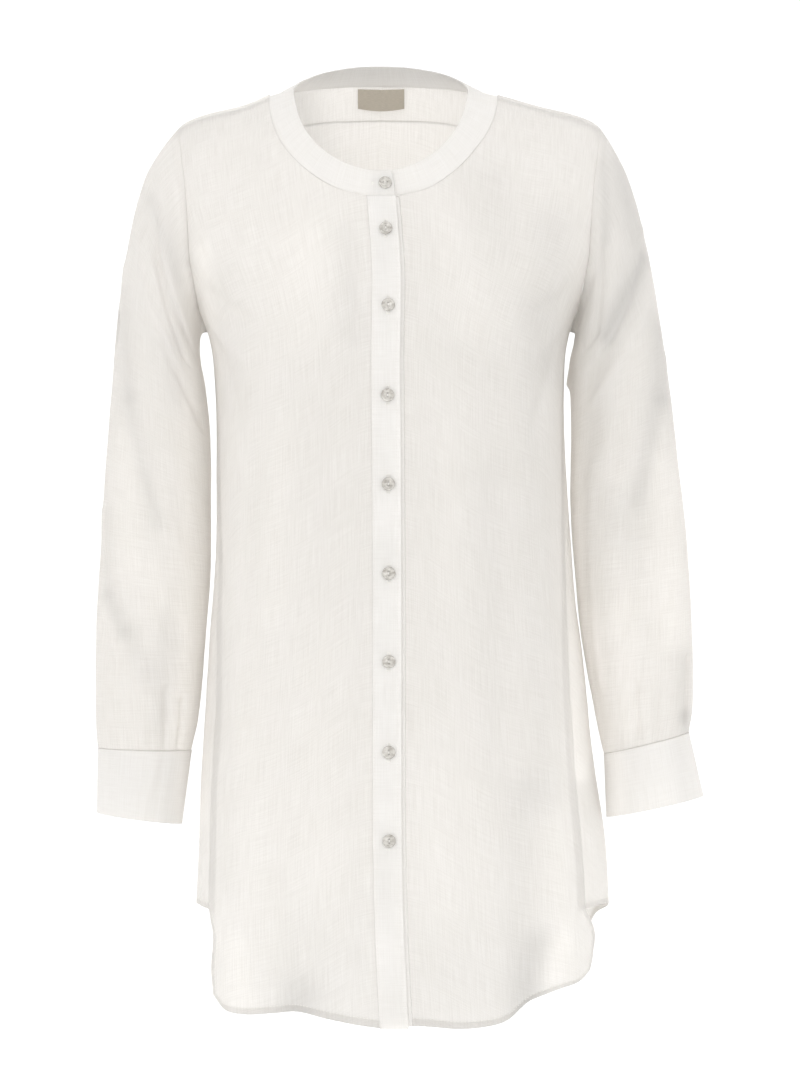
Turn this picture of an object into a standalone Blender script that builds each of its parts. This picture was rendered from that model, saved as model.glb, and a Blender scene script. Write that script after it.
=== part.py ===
"""Long collarless blouse, filled out as it is when worn and open at neck, hem and cuffs.

The tables are in centimetres and degrees, and the meshes are in metres with +Z up. The front faces -Y,
the wearer's right is at -X, and the origin lies between the two high points of the shoulders.
An angle on the body runs from 0 at the centre front over 90 at the side to 180 at the centre back.
"""
import math
from collections import namedtuple

import bmesh
import bpy
from mathutils import Matrix, Vector

CM = 0.01
GAP = 0.03
CLOTH = 0.15
DOUBLE_CLOTH = 0.2
RIGHT = -1
LEFT = 1

# The body: a rounded section at each height, which rolls over the shoulders under a ridge.
SQUARENESS = 0.05
SHOULDER_SPAN = 21.8
ROLL_HEIGHT = 18.0
NECK_SET_BACK = 2.5
FULL_WIDTH_ANGLE = 90.0
CENTRE_BACK = 179.99
NORMAL_STEP = 0.05
OUTWARDS_RISE = 8.0
SHARP_ANGLE = 40.0

Section = namedtuple("Section", "height half_width front back")
BODY = [
    Section(-86.0, 18.9, 13.6, 12.3),
    Section(-72.0, 18.5, 13.3, 12.0),
    Section(-66.0, 18.15, 13.1, 11.8),
    Section(-60.5, 17.7, 12.9, 11.5),
    Section(-52.0, 16.95, 12.6, 11.0),
    Section(-42.0, 16.05, 12.5, 10.5),
    Section(-32.0, 15.7, 12.7, 10.3),
    Section(-24.0, 15.75, 12.9, 10.4),
    Section(-21.0, 16.25, 12.8, 10.5),
    Section(-18.0, 17.5, 12.4, 10.6),
    Section(-14.0, 19.4, 11.6, 10.6),
    Section(-9.0, 20.9, 10.2, 10.3),
    Section(-4.0, 21.6, 8.6, 9.7),
    Section(5.0, 22.0, 7.6, 8.6),
]

RidgePoint = namedtuple("RidgePoint", "out height")
RIDGE = [
    RidgePoint(0.0, 4.5),
    RidgePoint(4.0, 3.6),
    RidgePoint(7.0, 2.2),
    RidgePoint(10.0, 0.74),
    RidgePoint(13.0, -0.32),
    RidgePoint(16.0, -1.12),
    RidgePoint(18.0, -1.85),
    RidgePoint(19.0, -2.5),
    RidgePoint(20.5, -4.0),
    RidgePoint(24.0, -8.0),
]

# How the hanging body drifts to the side and turns about the vertical.
Lean = namedtuple("Lean", "height sway turn")
LEAN = [
    Lean(-84.0, 1.45, 0.045),
    Lean(-74.0, 1.4, 0.08),
    Lean(-67.0, 1.3, 0.087),
    Lean(-60.0, 0.95, 0.065),
    Lean(-52.0, 0.75, 0.05),
    Lean(-42.0, 0.54, 0.035),
    Lean(-32.0, 0.27, 0.017),
    Lean(-24.0, 0.12, 0.01),
    Lean(-16.0, 0.1, 0.0),
]
NECK_SHIFT = -0.75
NECK_SHIFT_OUT = (8.0, 14.0)
NECK_SHIFT_HEIGHTS = (-18.0, -4.0)

# Soft flutes of the skirt, which deepen towards the hem.
Flute = namedtuple("Flute", "side angle half_width depth top")
FLUTES = [
    Flute(RIGHT, 31.0, 4.5, 0.55, -62.0),
    Flute(RIGHT, 47.0, 6.0, -0.3, -60.0),
    Flute(RIGHT, 76.0, 7.0, 0.35, -50.0),
    Flute(RIGHT, 118.0, 8.0, 0.7, -48.0),
    Flute(RIGHT, 152.0, 9.0, 0.8, -42.0),
    Flute(LEFT, 36.0, 4.5, 0.6, -62.0),
    Flute(LEFT, 52.0, 7.0, -0.3, -58.0),
    Flute(LEFT, 78.0, 7.0, 0.35, -50.0),
    Flute(LEFT, 112.0, 8.0, 0.7, -46.0),
    Flute(LEFT, 143.0, 9.0, 0.75, -50.0),
]
FLUTE_FOOT = -82.0

# Seams and edges.
PLACKET_SEAM = 1.42
SHOULDER_SEAM = namedtuple("ShoulderSeam", "neck arm")(3.9, 3.6)
SIDE_SEAM_TOP = -20.9
SIDE_SEAM_FOOT = -72.2
SEAM_ROWS = 11
CHEST_ROWS = 2
COLUMNS = 12

SeamPoint = namedtuple("SeamPoint", "height angle")
SIDE_SEAM = [
    SeamPoint(-72.2, 60.0),
    SeamPoint(-60.0, 61.5),
    SeamPoint(-52.0, 63.5),
    SeamPoint(-45.0, 68.5),
    SeamPoint(-36.0, 76.0),
    SeamPoint(-30.0, 81.0),
    SeamPoint(-25.0, 86.0),
    SeamPoint(-20.9, 90.0),
]
TAIL_EDGE = {
    RIGHT: [SeamPoint(-79.7, 57.0), SeamPoint(-77.4, 58.2), SeamPoint(-74.6, 56.8)],
    LEFT: [SeamPoint(-77.6, 61.0), SeamPoint(-76.2, 63.8), SeamPoint(-74.3, 65.6)],
}

HemPoint = namedtuple("HemPoint", "angle height")
FRONT_HEM = {
    RIGHT: [
        HemPoint(-8.0, -82.1),
        HemPoint(2.0, -82.1),
        HemPoint(10.0, -81.8),
        HemPoint(18.0, -81.3),
        HemPoint(26.0, -80.75),
        HemPoint(34.0, -80.95),
        HemPoint(42.0, -81.15),
        HemPoint(50.0, -80.85),
        HemPoint(57.0, -79.7),
    ],
    LEFT: [
        HemPoint(-8.0, -82.0),
        HemPoint(6.0, -81.9),
        HemPoint(17.0, -82.15),
        HemPoint(25.0, -81.95),
        HemPoint(30.0, -81.5),
        HemPoint(34.5, -80.65),
        HemPoint(38.0, -79.9),
        HemPoint(45.0, -79.1),
        HemPoint(54.0, -78.45),
        HemPoint(61.0, -77.6),
    ],
}
BACK_HEM = [
    HemPoint(60.0, -72.2),
    HemPoint(68.0, -72.1),
    HemPoint(80.0, -72.15),
    HemPoint(92.0, -72.3),
    HemPoint(102.0, -72.8),
    HemPoint(110.0, -73.4),
    HemPoint(118.0, -74.5),
    HemPoint(126.0, -76.1),
    HemPoint(134.0, -78.3),
    HemPoint(142.0, -80.4),
    HemPoint(152.0, -82.3),
    HemPoint(164.0, -83.3),
    HemPoint(180.0, -83.5),
]

ArmholePoint = namedtuple("ArmholePoint", "height out")
FRONT_ARMHOLE = [
    ArmholePoint(-20.9, 16.25),
    ArmholePoint(-19.7, 16.7),
    ArmholePoint(-18.0, 17.1),
    ArmholePoint(-16.0, 17.5),
    ArmholePoint(-13.5, 17.85),
    ArmholePoint(-10.8, 18.0),
    ArmholePoint(-7.9, 18.25),
    ArmholePoint(-5.2, 18.6),
    ArmholePoint(-2.87, 18.9),
]
BACK_ARMHOLE = [
    ArmholePoint(-20.9, 16.25),
    ArmholePoint(-19.4, 16.85),
    ArmholePoint(-17.4, 17.45),
    ArmholePoint(-15.0, 17.9),
    ArmholePoint(-12.3, 18.2),
    ArmholePoint(-9.5, 18.4),
    ArmholePoint(-6.8, 18.6),
]

# The neck, from the placket seam round to the centre back: its seam, and the free edge of the band.
NeckPoint = namedtuple("NeckPoint", "seam_out seam_height edge_out edge_y edge_height")
FRONT_NECK = [
    NeckPoint(0.0, -9.4, 0.0, -9.0, -7.1),
    NeckPoint(1.42, -9.36, 1.2, -8.96, -7.02),
    NeckPoint(4.2, -8.55, 3.4, -8.2, -6.25),
    NeckPoint(6.5, -6.95, 5.2, -6.8, -4.95),
    NeckPoint(8.2, -5.15, 6.5, -5.05, -3.4),
    NeckPoint(9.4, -3.3, 7.3, -3.1, -1.75),
    NeckPoint(10.05, -1.4, 7.7, -1.2, -0.2),
    NeckPoint(10.25, 0.2, 7.85, 0.3, 0.75),
]
BACK_NECK = [
    NeckPoint(10.2, 0.37, 7.75, 1.3, 1.3),
    NeckPoint(9.1, 0.83, 7.1, 2.35, 1.95),
    NeckPoint(7.0, 1.3, 5.6, 3.25, 2.65),
    NeckPoint(4.8, 1.6, 3.9, 3.85, 3.1),
    NeckPoint(2.4, 1.76, 2.0, 4.15, 3.38),
    NeckPoint(0.0, 1.8, 0.0, 4.25, 3.45),
]
YokePoint = namedtuple("YokePoint", "out height")
YOKE_FOOT = [YokePoint(0.0, -1.2), YokePoint(6.0, -1.5), YokePoint(12.0, -3.1), YokePoint(18.6, -6.8)]
YOKE_ARM_DOWN = (0.0, 2.5, 5.0, 7.2, 9.2, 11.2)
YOKE_ARMHOLE = [ArmholePoint(-6.8, 18.6), ArmholePoint(-4.5, 18.85), ArmholePoint(-2.4, 19.0)]
LAP = 1.1
LAP_DROP = 0.26
BAND_COLUMNS = 2

# The button plackets.
PLACKET_ROWS = 24
PLACKET_LIFT = 0.05
PLACKET_UNDER = -0.19
FRONT_UNDER = -0.21
FRONT_UNDER_REACH = 6.0

# The sleeves: the outer and inner line of the outline, and the half depth about a centre line.
Ring = namedtuple("Ring", "share outer_x outer_z inner_x inner_z half_depth centre_y")
SLEEVE = {
    RIGHT: [
        Ring(0.0, 19.0, -2.5, 16.3, -20.85, 4.9, 0.0),
        Ring(0.04, 20.5, -4.5, 16.75, -21.0, 5.2, 0.0),
        Ring(0.09, 21.9, -7.0, 16.95, -21.7, 5.6, 0.1),
        Ring(0.18, 23.1, -11.8, 16.9, -23.4, 6.0, 0.2),
        Ring(0.3, 24.2, -18.5, 16.4, -26.2, 6.0, 0.4),
        Ring(0.42, 24.9, -25.5, 15.98, -30.5, 5.8, 0.6),
        Ring(0.56, 25.5, -33.5, 15.9, -36.8, 5.4, 0.6),
        Ring(0.7, 26.0, -41.5, 15.98, -43.0, 5.0, 0.3),
        Ring(0.84, 26.2, -49.5, 16.5, -50.0, 4.6, -0.5),
        Ring(0.95, 26.15, -55.6, 17.0, -55.6, 4.2, -1.2),
        Ring(1.0, 26.0, -58.2, 17.6, -58.4, 3.6, -1.4),
    ],
    LEFT: [
        Ring(0.0, 19.0, -2.5, 16.3, -20.85, 4.9, 0.0),
        Ring(0.04, 20.3, -4.5, 16.8, -21.0, 5.2, 0.0),
        Ring(0.09, 21.65, -7.2, 16.75, -21.8, 5.6, 0.1),
        Ring(0.18, 23.0, -12.0, 16.6, -23.5, 6.0, 0.2),
        Ring(0.3, 24.25, -18.5, 16.45, -25.8, 6.0, 0.4),
        Ring(0.42, 25.35, -25.5, 16.45, -30.0, 5.8, 0.6),
        Ring(0.56, 26.25, -33.5, 16.45, -36.5, 5.4, 0.6),
        Ring(0.7, 27.0, -41.5, 16.85, -43.0, 5.0, 0.3),
        Ring(0.84, 27.4, -49.0, 17.75, -50.5, 4.6, -0.5),
        Ring(0.95, 27.35, -54.6, 18.7, -56.0, 4.2, -1.1),
        Ring(1.0, 27.0, -56.8, 19.35, -58.7, 3.6, -1.3),
    ],
}
SLEEVE_LENGTH = 57.0
SLEEVE_RADIUS = 5.0
SLEEVE_ROWS = 29
SLEEVE_CROWDING = 1.15
MITRE_LIMIT = 0.6
CAP_SHARE = 0.2

Crease = namedtuple("Crease", "from_share from_turn to_share to_turn half_width depth")
CREASES = {
    RIGHT: [
        Crease(0.12, 45.0, 0.2, 160.0, 1.5, 0.45),
        Crease(0.33, 8.0, 0.6, 92.0, 1.6, 0.4),
        Crease(0.7, 26.0, 0.8, 58.0, 1.4, 0.5),
        Crease(0.22, 215.0, 0.32, 300.0, 1.6, 0.45),
        Crease(0.62, 240.0, 0.72, 330.0, 1.5, 0.45),
    ],
    LEFT: [
        Crease(0.21, 30.0, 0.32, 118.0, 1.5, 0.55),
        Crease(0.42, 40.0, 0.64, 84.0, 1.6, 0.4),
        Crease(0.36, 128.0, 0.95, 158.0, 1.4, 0.3),
        Crease(0.2, 225.0, 0.34, 305.0, 1.6, 0.45),
        Crease(0.6, 235.0, 0.7, 320.0, 1.5, 0.45),
        Crease(0.14, 204.0, 0.27, 204.0, 2.0, -0.8),
    ],
}

# The cuffs, from the sleeve's seam to the free edge.
CUFF = {
    RIGHT: [
        Ring(0.0, 26.0, -58.24, 17.6, -58.44, 3.5, -1.4),
        Ring(1.0, 26.1, -64.0, 18.45, -65.0, 3.4, -1.6),
    ],
    LEFT: [
        Ring(0.0, 27.0, -56.84, 19.35, -58.74, 3.5, -1.3),
        Ring(1.0, 28.3, -62.5, 19.6, -64.4, 3.6, -1.5),
    ],
}
CUFF_START = 236.0
CUFF_LAP = 26.0
CUFF_LAP_EASE = 40.0
CUFF_TURNS = 30
CUFF_ROWS = 3

# Shell buttons with two holes.
BUTTON_HEIGHTS = (-12.35, -19.1, -26.95, -34.7, -42.5, -50.2, -58.1, -65.8)
BAND_BUTTON_SHARE = 0.5
BAND_BUTTON_SHIFT = 0.25
BUTTON_SEAT = 0.035
BUTTON_SIDES = 16
ButtonRing = namedtuple("ButtonRing", "radius height")
BUTTON_PROFILE = [
    ButtonRing(0.44, 0.0),
    ButtonRing(0.56, 0.07),
    ButtonRing(0.575, 0.15),
    ButtonRing(0.5, 0.22),
    ButtonRing(0.36, 0.17),
]
BUTTON_HOLE = namedtuple("ButtonHole", "radius offset sides")(0.075, 0.14, 6)

# The label inside the back neck.
LABEL_HALF_WIDTH = 2.15
LABEL_TOP = 1.65
LABEL_HEIGHT = 1.7
LABEL_THICKNESS = 0.1
LABEL_CLEAR = 0.09
LABEL_ROWS = 3
LABEL_COLUMNS = 4

MATERIALS = {
    "linen": ((0.905, 0.885, 0.85), 0.85),
    "shell": ((0.62, 0.58, 0.52), 0.25),
    "label": ((0.53, 0.48, 0.41), 0.8),
}


def clear_scene():
    for thing in list(bpy.data.objects):
        bpy.data.objects.remove(thing, do_unlink=True)


def smooth(places, values, at):
    """Value at a place on an even curve through the given values."""
    last = len(places) - 1
    if at <= places[0]:
        return values[0]
    if at >= places[last]:
        return values[last]
    step = max(index for index in range(last) if places[index] <= at)

    def slope(index):
        low = max(index - 1, 0)
        high = min(index + 1, last)
        return (values[high] - values[low]) / (places[high] - places[low])

    span = places[step + 1] - places[step]
    part = (at - places[step]) / span
    start = values[step] * (2 * part ** 3 - 3 * part ** 2 + 1)
    end = values[step + 1] * (3 * part ** 2 - 2 * part ** 3)
    leave = slope(step) * span * (part ** 3 - 2 * part ** 2 + part)
    arrive = slope(step + 1) * span * (part ** 3 - part ** 2)
    return start + end + leave + arrive


def read(rows, column, at):
    """Value of one column of a table at a place in its first column."""
    return smooth([row[0] for row in rows], [getattr(row, column) for row in rows], at)


def ease(low, high, at):
    """0 below low, 1 above high and a soft step between them."""
    part = min(max((at - low) / (high - low), 0.0), 1.0)
    return part * part * (3 - 2 * part)


def mix(first, second, part):
    return first + (second - first) * part


def squareness(angle):
    return 1.0 + SQUARENESS * math.sin(2 * math.radians(angle)) ** 2


def ridge_height(angle):
    out = SHOULDER_SPAN * abs(math.sin(math.radians(angle))) * squareness(angle)
    return read(RIDGE, "height", out)


def down_at(angle, height):
    """Way from the ridge down the roll to a height."""
    fall = max(ridge_height(angle) - height, 0.0)
    if fall < ROLL_HEIGHT:
        return ROLL_HEIGHT * math.acos(1.0 - fall / ROLL_HEIGHT)
    return fall - ROLL_HEIGHT + ROLL_HEIGHT * math.pi / 2


def height_at(angle, down):
    """Height at a way down from the ridge."""
    turned = min(down / ROLL_HEIGHT, math.pi / 2)
    return ridge_height(angle) - ROLL_HEIGHT * (1.0 - math.cos(turned)) - (down - ROLL_HEIGHT * turned)


def angle_at(out, height, back=False):
    """Angle at which the section at a height is so far out from its centre."""
    half_width = read(BODY, "half_width", height)
    low, high = 0.0, FULL_WIDTH_ANGLE
    for _ in range(30):
        middle = (low + high) / 2
        if half_width * math.sin(math.radians(middle)) * squareness(middle) < out:
            low = middle
        else:
            high = middle
    return 180.0 - low if back else low


def flute_depth(side, angle, height):
    """How far the skirt's flutes draw the cloth inwards."""
    depth = 0.0
    for flute in FLUTES:
        if flute.side == side:
            across = math.exp(-((angle - flute.angle) / flute.half_width) ** 2)
            depth += flute.depth * across * (1.0 - ease(FLUTE_FOOT, flute.top, height))
    return depth


def lean(place):
    """The place on the straight form, moved with the hanging body."""
    inwards = 1.0 - ease(NECK_SHIFT_OUT[0], NECK_SHIFT_OUT[1], abs(place.x))
    upwards = ease(NECK_SHIFT_HEIGHTS[0], NECK_SHIFT_HEIGHTS[1], place.z)
    shift = read(LEAN, "sway", place.z) + read(LEAN, "turn", place.z) * place.y
    return Vector((place.x + shift + NECK_SHIFT * inwards * upwards, place.y, place.z))


def body_point(side, angle, down, lift=0.0):
    """Point of the cloth's outer face. A way down below zero lies over the ridge, on the other face."""
    if down < 0:
        angle, down = 180.0 - angle, -down
    height = height_at(angle, down)
    bow = math.radians(angle)
    reach = math.sin(min(down / ROLL_HEIGHT, math.pi / 2))
    out = read(BODY, "half_width", height) * math.sin(bow) * squareness(angle)
    depth = read(BODY, "front" if angle < FULL_WIDTH_ANGLE else "back", height)
    set_back = NECK_SET_BACK * math.cos(bow) ** 4
    y = set_back + (-math.cos(bow) * depth * squareness(angle) - set_back) * reach
    drawn_in = flute_depth(side, abs(angle), height) - lift
    if side == LEFT and angle < FULL_WIDTH_ANGLE:
        drawn_in -= FRONT_UNDER * (1.0 - ease(PLACKET_SEAM, FRONT_UNDER_REACH, out))
    place = Vector((side * (out - drawn_in * math.sin(bow)), y + drawn_in * math.cos(bow), height))
    return lean(place)


def body_normal(side, angle, down):
    """Direction out of the cloth, from near points of its face."""
    step = NORMAL_STEP
    across = body_point(side, angle + step, down) - body_point(side, angle - step, down)
    along = body_point(side, angle, down + step) - body_point(side, angle, down - step)
    normal = across.cross(along).normalized()
    place = body_point(side, angle, down)
    outwards = Vector((place.x, place.y, OUTWARDS_RISE))
    return normal if normal.dot(outwards) > 0 else -normal


def skin(side, angle, down, thickness=CLOTH, lift=0.0):
    """Outer and inner point of a wall of the body. Both sides share the centre back's points."""
    if angle > CENTRE_BACK:
        side = RIGHT
    outer = body_point(side, angle, down)
    normal = body_normal(side, angle, down)
    return outer + normal * lift, outer + normal * (lift - thickness)


def skin_at_height(side, angle, height, thickness=CLOTH, lift=0.0):
    return skin(side, angle, down_at(abs(angle), height), thickness, lift)


def patch(bottom, top, inner, outer, part_u, part_v, u, v):
    """Point of a sheet between its four edges, each a pair of chart values."""
    def blend(axis):
        along = mix(bottom[u][axis], top[u][axis], part_v)
        across = mix(inner[v][axis], outer[v][axis], part_u)
        low = mix(bottom[0][axis], bottom[-1][axis], part_u)
        high = mix(top[0][axis], top[-1][axis], part_u)
        return along + across - mix(low, high, part_v)
    return blend(0), blend(1)


def chart(bottom, top, inner, outer):
    """Rows of chart values over a sheet, from the bottom edge to the top edge."""
    columns = len(bottom) - 1
    rows = len(inner) - 1
    return [
        [patch(bottom, top, inner, outer, u / columns, v / rows, u, v) for u in range(columns + 1)]
        for v in range(rows + 1)
    ]


def drawn_back(grid, edges):
    """The grid with the named edges moved off the seam by the gap between pieces."""
    moved = [list(row) for row in grid]
    if "top" in edges:
        for u, point in enumerate(grid[-1]):
            moved[-1][u] = step_towards(point, grid[-2][u])
    if "outer" in edges:
        for v, row in enumerate(grid):
            moved[v][-1] = step_towards(moved[v][-1], row[-2])
    if "inner" in edges:
        for v, row in enumerate(grid):
            moved[v][0] = step_towards(moved[v][0], row[1])
    return moved


def step_towards(point, neighbour):
    way = (neighbour[0] - point[0]).normalized() * GAP
    return point[0] + way, point[1] + way


def wall_object(name, grids, material, closed=False):
    """One closed wall through grids of outer and inner points, which join where their points meet."""
    mesh_builder = bmesh.new()
    pairs = {}

    def pair(point):
        key = tuple(round(value, 4) for value in point[0])
        if key not in pairs:
            pairs[key] = tuple(mesh_builder.verts.new(side * CM) for side in point)
        return pairs[key]

    inside_of = {}
    for grid in grids:
        for low, high in zip(grid, grid[1:]):
            count = len(low)
            for u in range(count if closed else count - 1):
                after = (u + 1) % count
                corners = [pair(low[u]), pair(low[after]), pair(high[after]), pair(high[u])]
                mesh_builder.faces.new([corner[0] for corner in corners])
                mesh_builder.faces.new([corner[1] for corner in reversed(corners)])
                inside_of.update(corners)
    rims = [edge for edge in mesh_builder.edges if edge.is_boundary and edge.verts[0] in inside_of]
    for edge in rims:
        first, second = edge.verts
        mesh_builder.faces.new([first, second, inside_of[second], inside_of[first]])
    return finish(name, mesh_builder, material)


def finish(name, mesh_builder, material):
    bmesh.ops.recalc_face_normals(mesh_builder, faces=mesh_builder.faces)
    mesh = bpy.data.meshes.new(name)
    mesh_builder.to_mesh(mesh)
    mesh_builder.free()
    mesh.shade_smooth()
    mesh.set_sharp_from_angle(angle=math.radians(SHARP_ANGLE))
    return place_object(name, mesh, material)


def place_object(name, mesh, material):
    if not mesh.materials:
        mesh.materials.append(material)
    thing = bpy.data.objects.new(name, mesh)
    bpy.context.scene.collection.objects.link(thing)
    return thing


def make_material(name):
    colour, roughness = MATERIALS[name]
    material = bpy.data.materials.new(name)
    material.use_nodes = True
    shader = material.node_tree.nodes["Principled BSDF"]
    shader.inputs["Base Color"].default_value = (*colour, 1.0)
    shader.inputs["Roughness"].default_value = roughness
    shader.inputs["Metallic"].default_value = 0.0
    return material


def seam_heights():
    return [mix(SIDE_SEAM_FOOT, SIDE_SEAM_TOP, row / SEAM_ROWS) for row in range(SEAM_ROWS + 1)]


def shoulder_seam(back=False):
    """Chart values of the forward shoulder seam, from the neck to the armhole."""
    neck = angle_at(FRONT_NECK[-1].seam_out, FRONT_NECK[-1].seam_height)
    arm = angle_at(FRONT_ARMHOLE[-1].out, FRONT_ARMHOLE[-1].height)
    seam = []
    for column in range(COLUMNS + 1):
        angle = mix(neck, arm, column / COLUMNS)
        down = mix(SHOULDER_SEAM.neck, SHOULDER_SEAM.arm, column / COLUMNS)
        seam.append((180.0 - angle, -down) if back else (angle, down))
    return seam


def front_rows(side):
    """Rows of chart angle and height over a front, from the hem to the shoulder seam."""
    top = [(angle, height_at(angle, down)) for angle, down in shoulder_seam()]
    hem_inner = angle_at(PLACKET_SEAM, FRONT_HEM[side][1].height)
    hem_outer = TAIL_EDGE[side][0].angle
    bottom = []
    for column in range(COLUMNS + 1):
        angle = mix(hem_inner, hem_outer, column / COLUMNS)
        bottom.append((angle, read(FRONT_HEM[side], "height", angle)))
    outer = [(point.angle, point.height) for point in TAIL_EDGE[side]]
    outer += [(read(SIDE_SEAM, "angle", height), height) for height in seam_heights()]
    outer += [(angle_at(point.out, point.height), point.height) for point in FRONT_ARMHOLE[1:-1]]
    outer.append(top[-1])
    tail_rows = len(TAIL_EDGE[side])
    heights = [mix(bottom[0][1], SIDE_SEAM_FOOT, row / tail_rows) for row in range(tail_rows)]
    heights += seam_heights()
    neck_start = FRONT_NECK[1].seam_height
    heights += [mix(SIDE_SEAM_TOP, neck_start, row / CHEST_ROWS) for row in range(1, CHEST_ROWS + 1)]
    inner = [(angle_at(PLACKET_SEAM, height), height) for height in heights]
    inner += [(angle_at(point.seam_out, point.seam_height), point.seam_height) for point in FRONT_NECK[2:-1]]
    inner.append(top[0])
    return chart(bottom, top, inner, outer)


def make_front(name, side, material):
    grid = [[skin_at_height(side, angle, height) for angle, height in row] for row in front_rows(side)]
    return wall_object(name, [drawn_back(grid, ("top", "outer", "inner"))], material)


def yoke_rows():
    """Rows of chart angle and way down over half the yoke, from the shoulder seam to the back seam."""
    top = shoulder_seam(back=True)
    neck = [top[0]]
    for point in BACK_NECK:
        angle = angle_at(point.seam_out, point.seam_height, back=True)
        neck.append((angle, down_at(angle, point.seam_height)))
    neck.append((180.0, down_at(180.0, YOKE_FOOT[0].height)))
    arm = [top[-1]]
    for down in YOKE_ARM_DOWN:
        arm.append((yoke_arm_angle(down), down))
    foot_angle = angle_at(YOKE_FOOT[-1].out, YOKE_FOOT[-1].height, back=True)
    arm.append((foot_angle, down_at(foot_angle, YOKE_FOOT[-1].height)))
    half_width = read(BODY, "half_width", YOKE_FOOT[0].height)
    bottom = []
    for column in range(COLUMNS + 1):
        angle = mix(180.0, foot_angle, column / COLUMNS)
        out = half_width * math.sin(math.radians(angle)) * squareness(angle)
        bottom.append((angle, down_at(angle, read(YOKE_FOOT, "height", out))))
    bottom[-1] = arm[-1]
    return chart(top, bottom, neck, arm)


def yoke_arm_angle(down):
    """Chart angle of the yoke's armhole edge at a way down from the ridge."""
    angle = angle_at(YOKE_ARMHOLE[-1].out, YOKE_ARMHOLE[-1].height, back=True)
    for _ in range(4):
        height = height_at(angle, down)
        angle = angle_at(read(YOKE_ARMHOLE, "out", height), height, back=True)
    return angle


def make_yoke(name, material):
    grids = []
    for side in (RIGHT, LEFT):
        grids.append([[skin(side, angle, down) for angle, down in row] for row in yoke_rows()])
    return wall_object(name, grids, material)


def back_rows():
    """Rows of chart angle and height over half the back, from the hem to the yoke seam."""
    top = [(angle, height_at(angle, down)) for angle, down in yoke_rows()[-1]]
    bottom = []
    for column in range(COLUMNS + 1):
        angle = mix(180.0, SIDE_SEAM[0].angle, column / COLUMNS)
        bottom.append((angle, read(BACK_HEM, "height", angle)))
    outer = [(read(SIDE_SEAM, "angle", height), height) for height in seam_heights()]
    for point in BACK_ARMHOLE[1:-1]:
        outer.append((angle_at(point.out, point.height, back=True), point.height))
    outer.append(top[-1])
    arm_rows = len(BACK_ARMHOLE) - 1
    heights = [mix(bottom[0][1], SIDE_SEAM_TOP, row / SEAM_ROWS) for row in range(SEAM_ROWS + 1)]
    heights += [mix(SIDE_SEAM_TOP, top[0][1], row / arm_rows) for row in range(1, arm_rows + 1)]
    inner = [(180.0, height) for height in heights]
    return chart(bottom, top, inner, outer)


def make_back(name, material):
    grids = []
    for side in (RIGHT, LEFT):
        grid = [[skin_at_height(side, angle, height) for angle, height in row] for row in back_rows()]
        grids.append(drawn_back(grid, ("top",)))
    return wall_object(name, grids, material)


def armhole(side):
    """The armhole from the ridge down the front, under the arm and up the back: outer points and normals."""
    front = [(row[-1][0], down_at(row[-1][0], row[-1][1])) for row in front_rows(side)[-len(FRONT_ARMHOLE):]]
    yoke = [row[-1] for row in yoke_rows()]
    back = [(row[-1][0], down_at(row[-1][0], row[-1][1])) for row in back_rows()[-len(BACK_ARMHOLE):]]
    ring = [yoke[1], yoke[0]] + front[-2::-1] + back[1:-1] + yoke[-1:1:-1]
    places = [body_point(side, angle, down) for angle, down in ring]
    normals = [body_normal(side, angle, down) for angle, down in ring]
    lifted = []
    for index, place in enumerate(places):
        tangent = places[(index + 1) % len(places)] - places[index - 1]
        heading = normals[index].cross(tangent).normalized()
        away = Vector((side, 0.0, 1.0))
        if heading.dot(away) < 0:
            heading = -heading
        lifted.append(place + heading * GAP)
    return lifted, normals


def ring_turns(places):
    """Turn of each point of the armhole about the sleeve: 0 at the ridge, 180 under the arm."""
    lengths = [0.0]
    for first, second in zip(places, places[1:] + places[:1]):
        lengths.append(lengths[-1] + (second - first).length)
    lowest = min(range(len(places)), key=lambda index: places[index].z)
    turns = []
    for index in range(len(places)):
        if index <= lowest:
            turns.append(180.0 * lengths[index] / lengths[lowest])
        else:
            turns.append(180.0 + 180.0 * (lengths[index] - lengths[lowest]) / (lengths[-1] - lengths[lowest]))
    return turns


def crease_depth(side, share, turn):
    """How far the sleeve's largest creases draw the cloth inwards."""
    depth = 0.0
    for crease in CREASES[side]:
        start = Vector((crease.from_share * SLEEVE_LENGTH, math.radians(crease.from_turn) * SLEEVE_RADIUS))
        end = Vector((crease.to_share * SLEEVE_LENGTH, math.radians(crease.to_turn) * SLEEVE_RADIUS))
        here = Vector((share * SLEEVE_LENGTH, math.radians(turn) * SLEEVE_RADIUS))
        along = (here - start).dot(end - start) / (end - start).length_squared
        nearest = start + (end - start) * min(max(along, 0.0), 1.0)
        depth += crease.depth * math.exp(-((here - nearest).length / crease.half_width) ** 2)
    return depth


def ring_point(side, table, share, turn):
    """Point of a sleeve's or cuff's smooth form."""
    outer = Vector((side * read(table, "outer_x", share), 0.0, read(table, "outer_z", share)))
    inner = Vector((side * read(table, "inner_x", share), 0.0, read(table, "inner_z", share)))
    across = (1.0 - math.cos(math.radians(turn))) / 2
    forward = -read(table, "half_depth", share) * math.sin(math.radians(turn))
    return outer.lerp(inner, across) + Vector((0.0, read(table, "centre_y", share) + forward, 0.0))


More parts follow.
